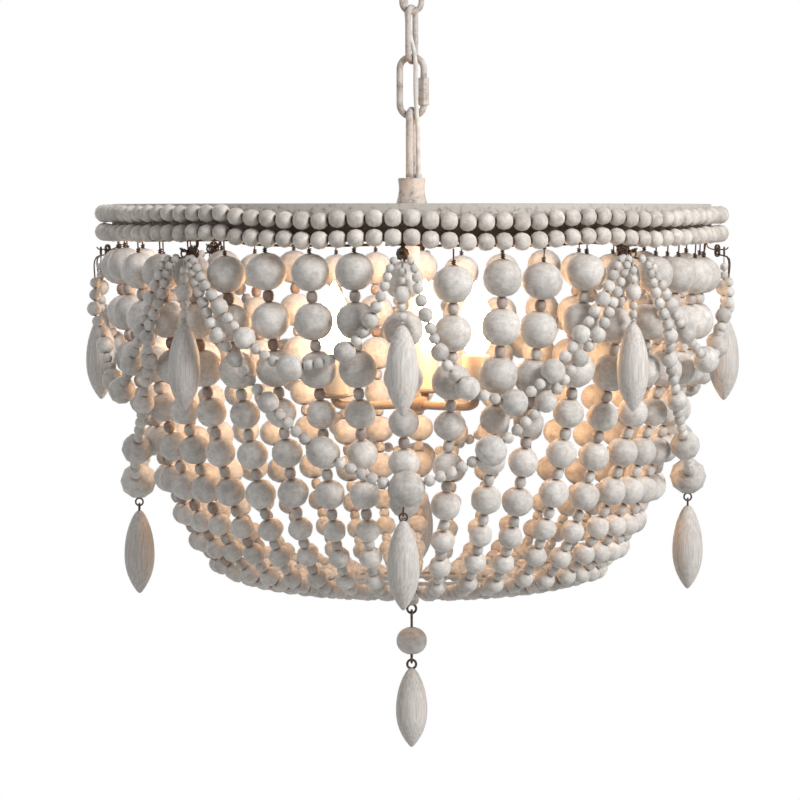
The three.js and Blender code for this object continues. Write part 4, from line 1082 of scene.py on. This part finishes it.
foot_wire = 0.004
foot_ring_radius = 0.0659
foot_level = band_top - basket_depth
bar_size = (0.0025, 0.0015)
finial_wire = 0.002
finial_eye_radius = 0.0036
finial_eye = (finial_eye_radius, finial_wire)
angle = round_angles(96)
hoop = np.stack([foot_ring_radius * np.cos(angle), foot_ring_radius * np.sin(angle),
                 0 * angle + foot_level], -1)
surface("foot_hoop", "foot_ring", ring_paint, "cream_metal",
        tube(hoop, (0, 0, 1), foot_wire / 2, 10, looped=True), looped=True)
reach = np.linspace(-foot_ring_radius, foot_ring_radius, 16)
section = np.array([(-0.9, -1), (0.9, -1), (1, -0.7), (1, 0.7), (0.9, 1), (-0.9, 1), (-1, 0.7), (-1, -0.7)])
bars = [turned_round(flat_bar(reach, section * bar_size * (1, thin) + (0, foot_level)), fixture_turn + turn)
        for turn, thin in ((0, 0.96), (math.pi / 2, 1))]
surface("foot_bars", "foot_ring", ring_paint, "cream_metal", np.stack(bars))
boss_low = foot_level - 0.017
boss = [(0.0035, boss_low), (0.0052, boss_low + 0.0015), (0.006, boss_low + 0.004),
        (0.0054, boss_low + 0.007), (0.0042, boss_low + 0.0085), (0.0052, boss_low + 0.0105),
        (0.006, boss_low + 0.013), (0.006, foot_level + 0.002), (0.005, foot_level + 0.003)]
surface("foot_boss", "foot_ring", ring_paint, "cream_metal", turned(boss, 28))
wire_eye("foot_eye", "foot_ring", boss_low + finial_wire / 4, fixture_turn, size=finial_eye)


# Finial
# A large turned bead on wire eyes hangs from the foot ring, and a spindle hangs from the bead.

finial_radius = 0.01225
finial_drop_radius = 0.01275
bead_low, bead_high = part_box("finial_bead")
ring_top = bead_high.z - finial_wire / 2
low_eye_top = bead_low.z + finial_wire / 2 + 2 * finial_eye_radius
ball_top = ring_top - 2 * finial_eye_radius - 0.0065
ball_low = low_eye_top - finial_wire / 4
for name, top in (("finial_upper_eye", ring_top), ("finial_lower_eye", low_eye_top)):
    turn = fixture_turn + math.pi / 2
    wire_eye(name, "finial_bead", top, turn, body="finial_bead_body", size=finial_eye)
stem = np.linspace((0, 0, ring_top - 2 * finial_eye_radius), (0, 0, ball_top - 0.004), 6)
wire_piece("finial_stem", "finial_bead", tube(stem, (1, 0, 0), finial_wire / 2, 10), "finial_bead_body")
ball_middle = np.array([[0, 0, (ball_top + ball_low) / 2]])
ball_half = (ball_top - ball_low) / 2
ball_shape = bead_shape(2.15, 0, 14, 28, 42, 56, 70, 82)
string = beads(ball_middle, np.array([[0.0, 0, -1]]), (1, 0, 0), finial_radius, ball_half, ball_shape, 28)
surface("finial_ball", "finial_bead", strand_wash, "strand_bead", **string, body="finial_bead_body",
        tone=0.6)

drop_low, drop_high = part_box("finial_drop")
ring_top = drop_high.z - finial_wire / 2
wire_eye("finial_drop_eye", "finial_drop", ring_top, fixture_turn, body="finial_drop_body", size=finial_eye)
drop_top = ring_top - 2 * finial_eye_radius + finial_wire / 4
spindle("finial_spindle", "finial_drop", "finial_drop_body", drop_top, drop_top - drop_low.z,
        finial_drop_radius, sides=28, tone=0.4)


# Column and lamps
# A painted tube hangs from the ring's hub and carries three arms with dishes. On each stands an
# ivory sleeve with a lit candle bulb.

column_low, column_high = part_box("centre_column")
column_radius = 0.0065
bevel = 0.0003
arms_start = math.radians(52)
arm_reach = 0.066
arm_bend = 0.006
arm_radius = 0.0034
lamp_hub_top = column_low.z - 0.0003
lamp_hub_low = lamp_hub_top - 0.012
arm_level = (lamp_hub_top + lamp_hub_low) / 2
dish_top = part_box("candle_sleeve_1")[0].z - 0.0003
lamp_paint = coated("lamp_paint", worn_paint, {"Wear": 0.3, "Scale": 90.0, "Paint": linear(168, 150, 134)},
                    paint_relief)
ivory = coated("ivory_sleeve", mottle, {
    "Dark": linear(222, 208, 188), "Pale": linear(238, 228, 210), "Scale": (60.0,) * 3,
}, Roughness=0.5, Subsurface_Weight=0.2, Subsurface_Scale=0.004)
lit = coated("lit_bulb", mottle, {
    "Dark": (1, 0.5, 0.2, 1), "Pale": (1, 0.62, 0.3, 1), "Scale": (30.0,) * 3, "Detail": 1.0,
}, coloured="Emission Color", Roughness=0.2, Base_Color=(1, 0.86, 0.62, 1), Emission_Strength=48.0)
brass = coated("brass_base", mottle, {
    "Dark": linear(150, 120, 66), "Pale": linear(196, 164, 98), "Scale": (300.0,) * 3, "Detail": 2.0,
}, Metallic=0.9, Roughness=0.35)
column = turned([(column_radius - 0.0002, column_low.z), (column_radius, column_low.z + bevel),
                 (column_radius, column_high.z - bevel), (column_radius - 0.0002, column_high.z)], 32)
surface("column_tube", "centre_column", cream, "cream_metal", column)
hub = turned([(0.008, lamp_hub_low), (0.0125, lamp_hub_low + 0.002), (0.014, lamp_hub_low + 0.005),
              (0.014, lamp_hub_top - 0.004), (0.012, lamp_hub_top - 0.001), (0.010, lamp_hub_top)], 36)
surface("lamp_hub", "lamp_arms", lamp_paint, "cream_metal", hub)
line = smooth_route([
    (0, -0.008, arm_level), (0, -0.028, arm_level - 0.0004), (0, -0.05, arm_level - 0.0002),
    (0, arm_bend - arm_reach, arm_level + 0.0006), (0, arm_bend / 4 - arm_reach, arm_level + 0.0028),
    (0, -arm_reach, dish_top - 0.0012),
], 10)
arm = tube(line, (1, 0, 0), arm_radius, 12)
dish = [(0.008, dish_top - 0.003), (0.0145, dish_top - 0.0012), (0.015, dish_top - bevel),
        (0.0147, dish_top)]
glass_radius = 0.015
glass_shares = np.array([
    (0.42, 0.0), (0.5, 0.03), (0.7, 0.12), (0.88, 0.21), (0.98, 0.31), (0.99, 0.4), (0.92, 0.5), (0.78, 0.6),
    (0.6, 0.7), (0.42, 0.8), (0.26, 0.88), (0.13, 0.95), (0.02, 1.0),
])

for i in range(3):
    around = fixture_turn + (arms_start + i * 2 * math.pi / 3)
    middle = turned_round(np.array([0, -arm_reach, 0]), around)[:2]
    surface(f"arm_{i + 1}", "lamp_arms", lamp_paint, "cream_metal", turned_round(arm, around))
    surface(f"dish_{i + 1}", "lamp_arms", lamp_paint, "cream_metal", turned(dish, 32, middle))
    covered = f"candle_sleeve_{i + 1}"
    low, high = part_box(covered)
    bore_floor = high.z - 0.015
    sleeve = [(0.0108, low.z), (0.011, low.z + 0.0004), (0.011, high.z - 0.0008), (0.0104, high.z),
              (0.0078, high.z), (0.0072, high.z - 0.0006), (0.0072, bore_floor)]
    surface(f"sleeve_{i + 1}", covered, ivory, "candle_sleeve", turned(sleeve, 32, middle))
    covered = f"bulb_{i + 1}"
    low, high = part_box(covered)
    shoulder = low.z + 0.0153
    glass = glass_shares * (glass_radius, high.z - shoulder) + (0, shoulder)
    base = [(0.004, low.z), (0.006, low.z + 0.002), (0.006, shoulder - 0.0004), (0.0055, shoulder)]
    surface(f"bulb_glass_{i + 1}", covered, lit, "bulb", lathed(glass, 28, middle))
    surface(f"bulb_base_{i + 1}", covered, brass, "bulb", turned(base, 24, middle))
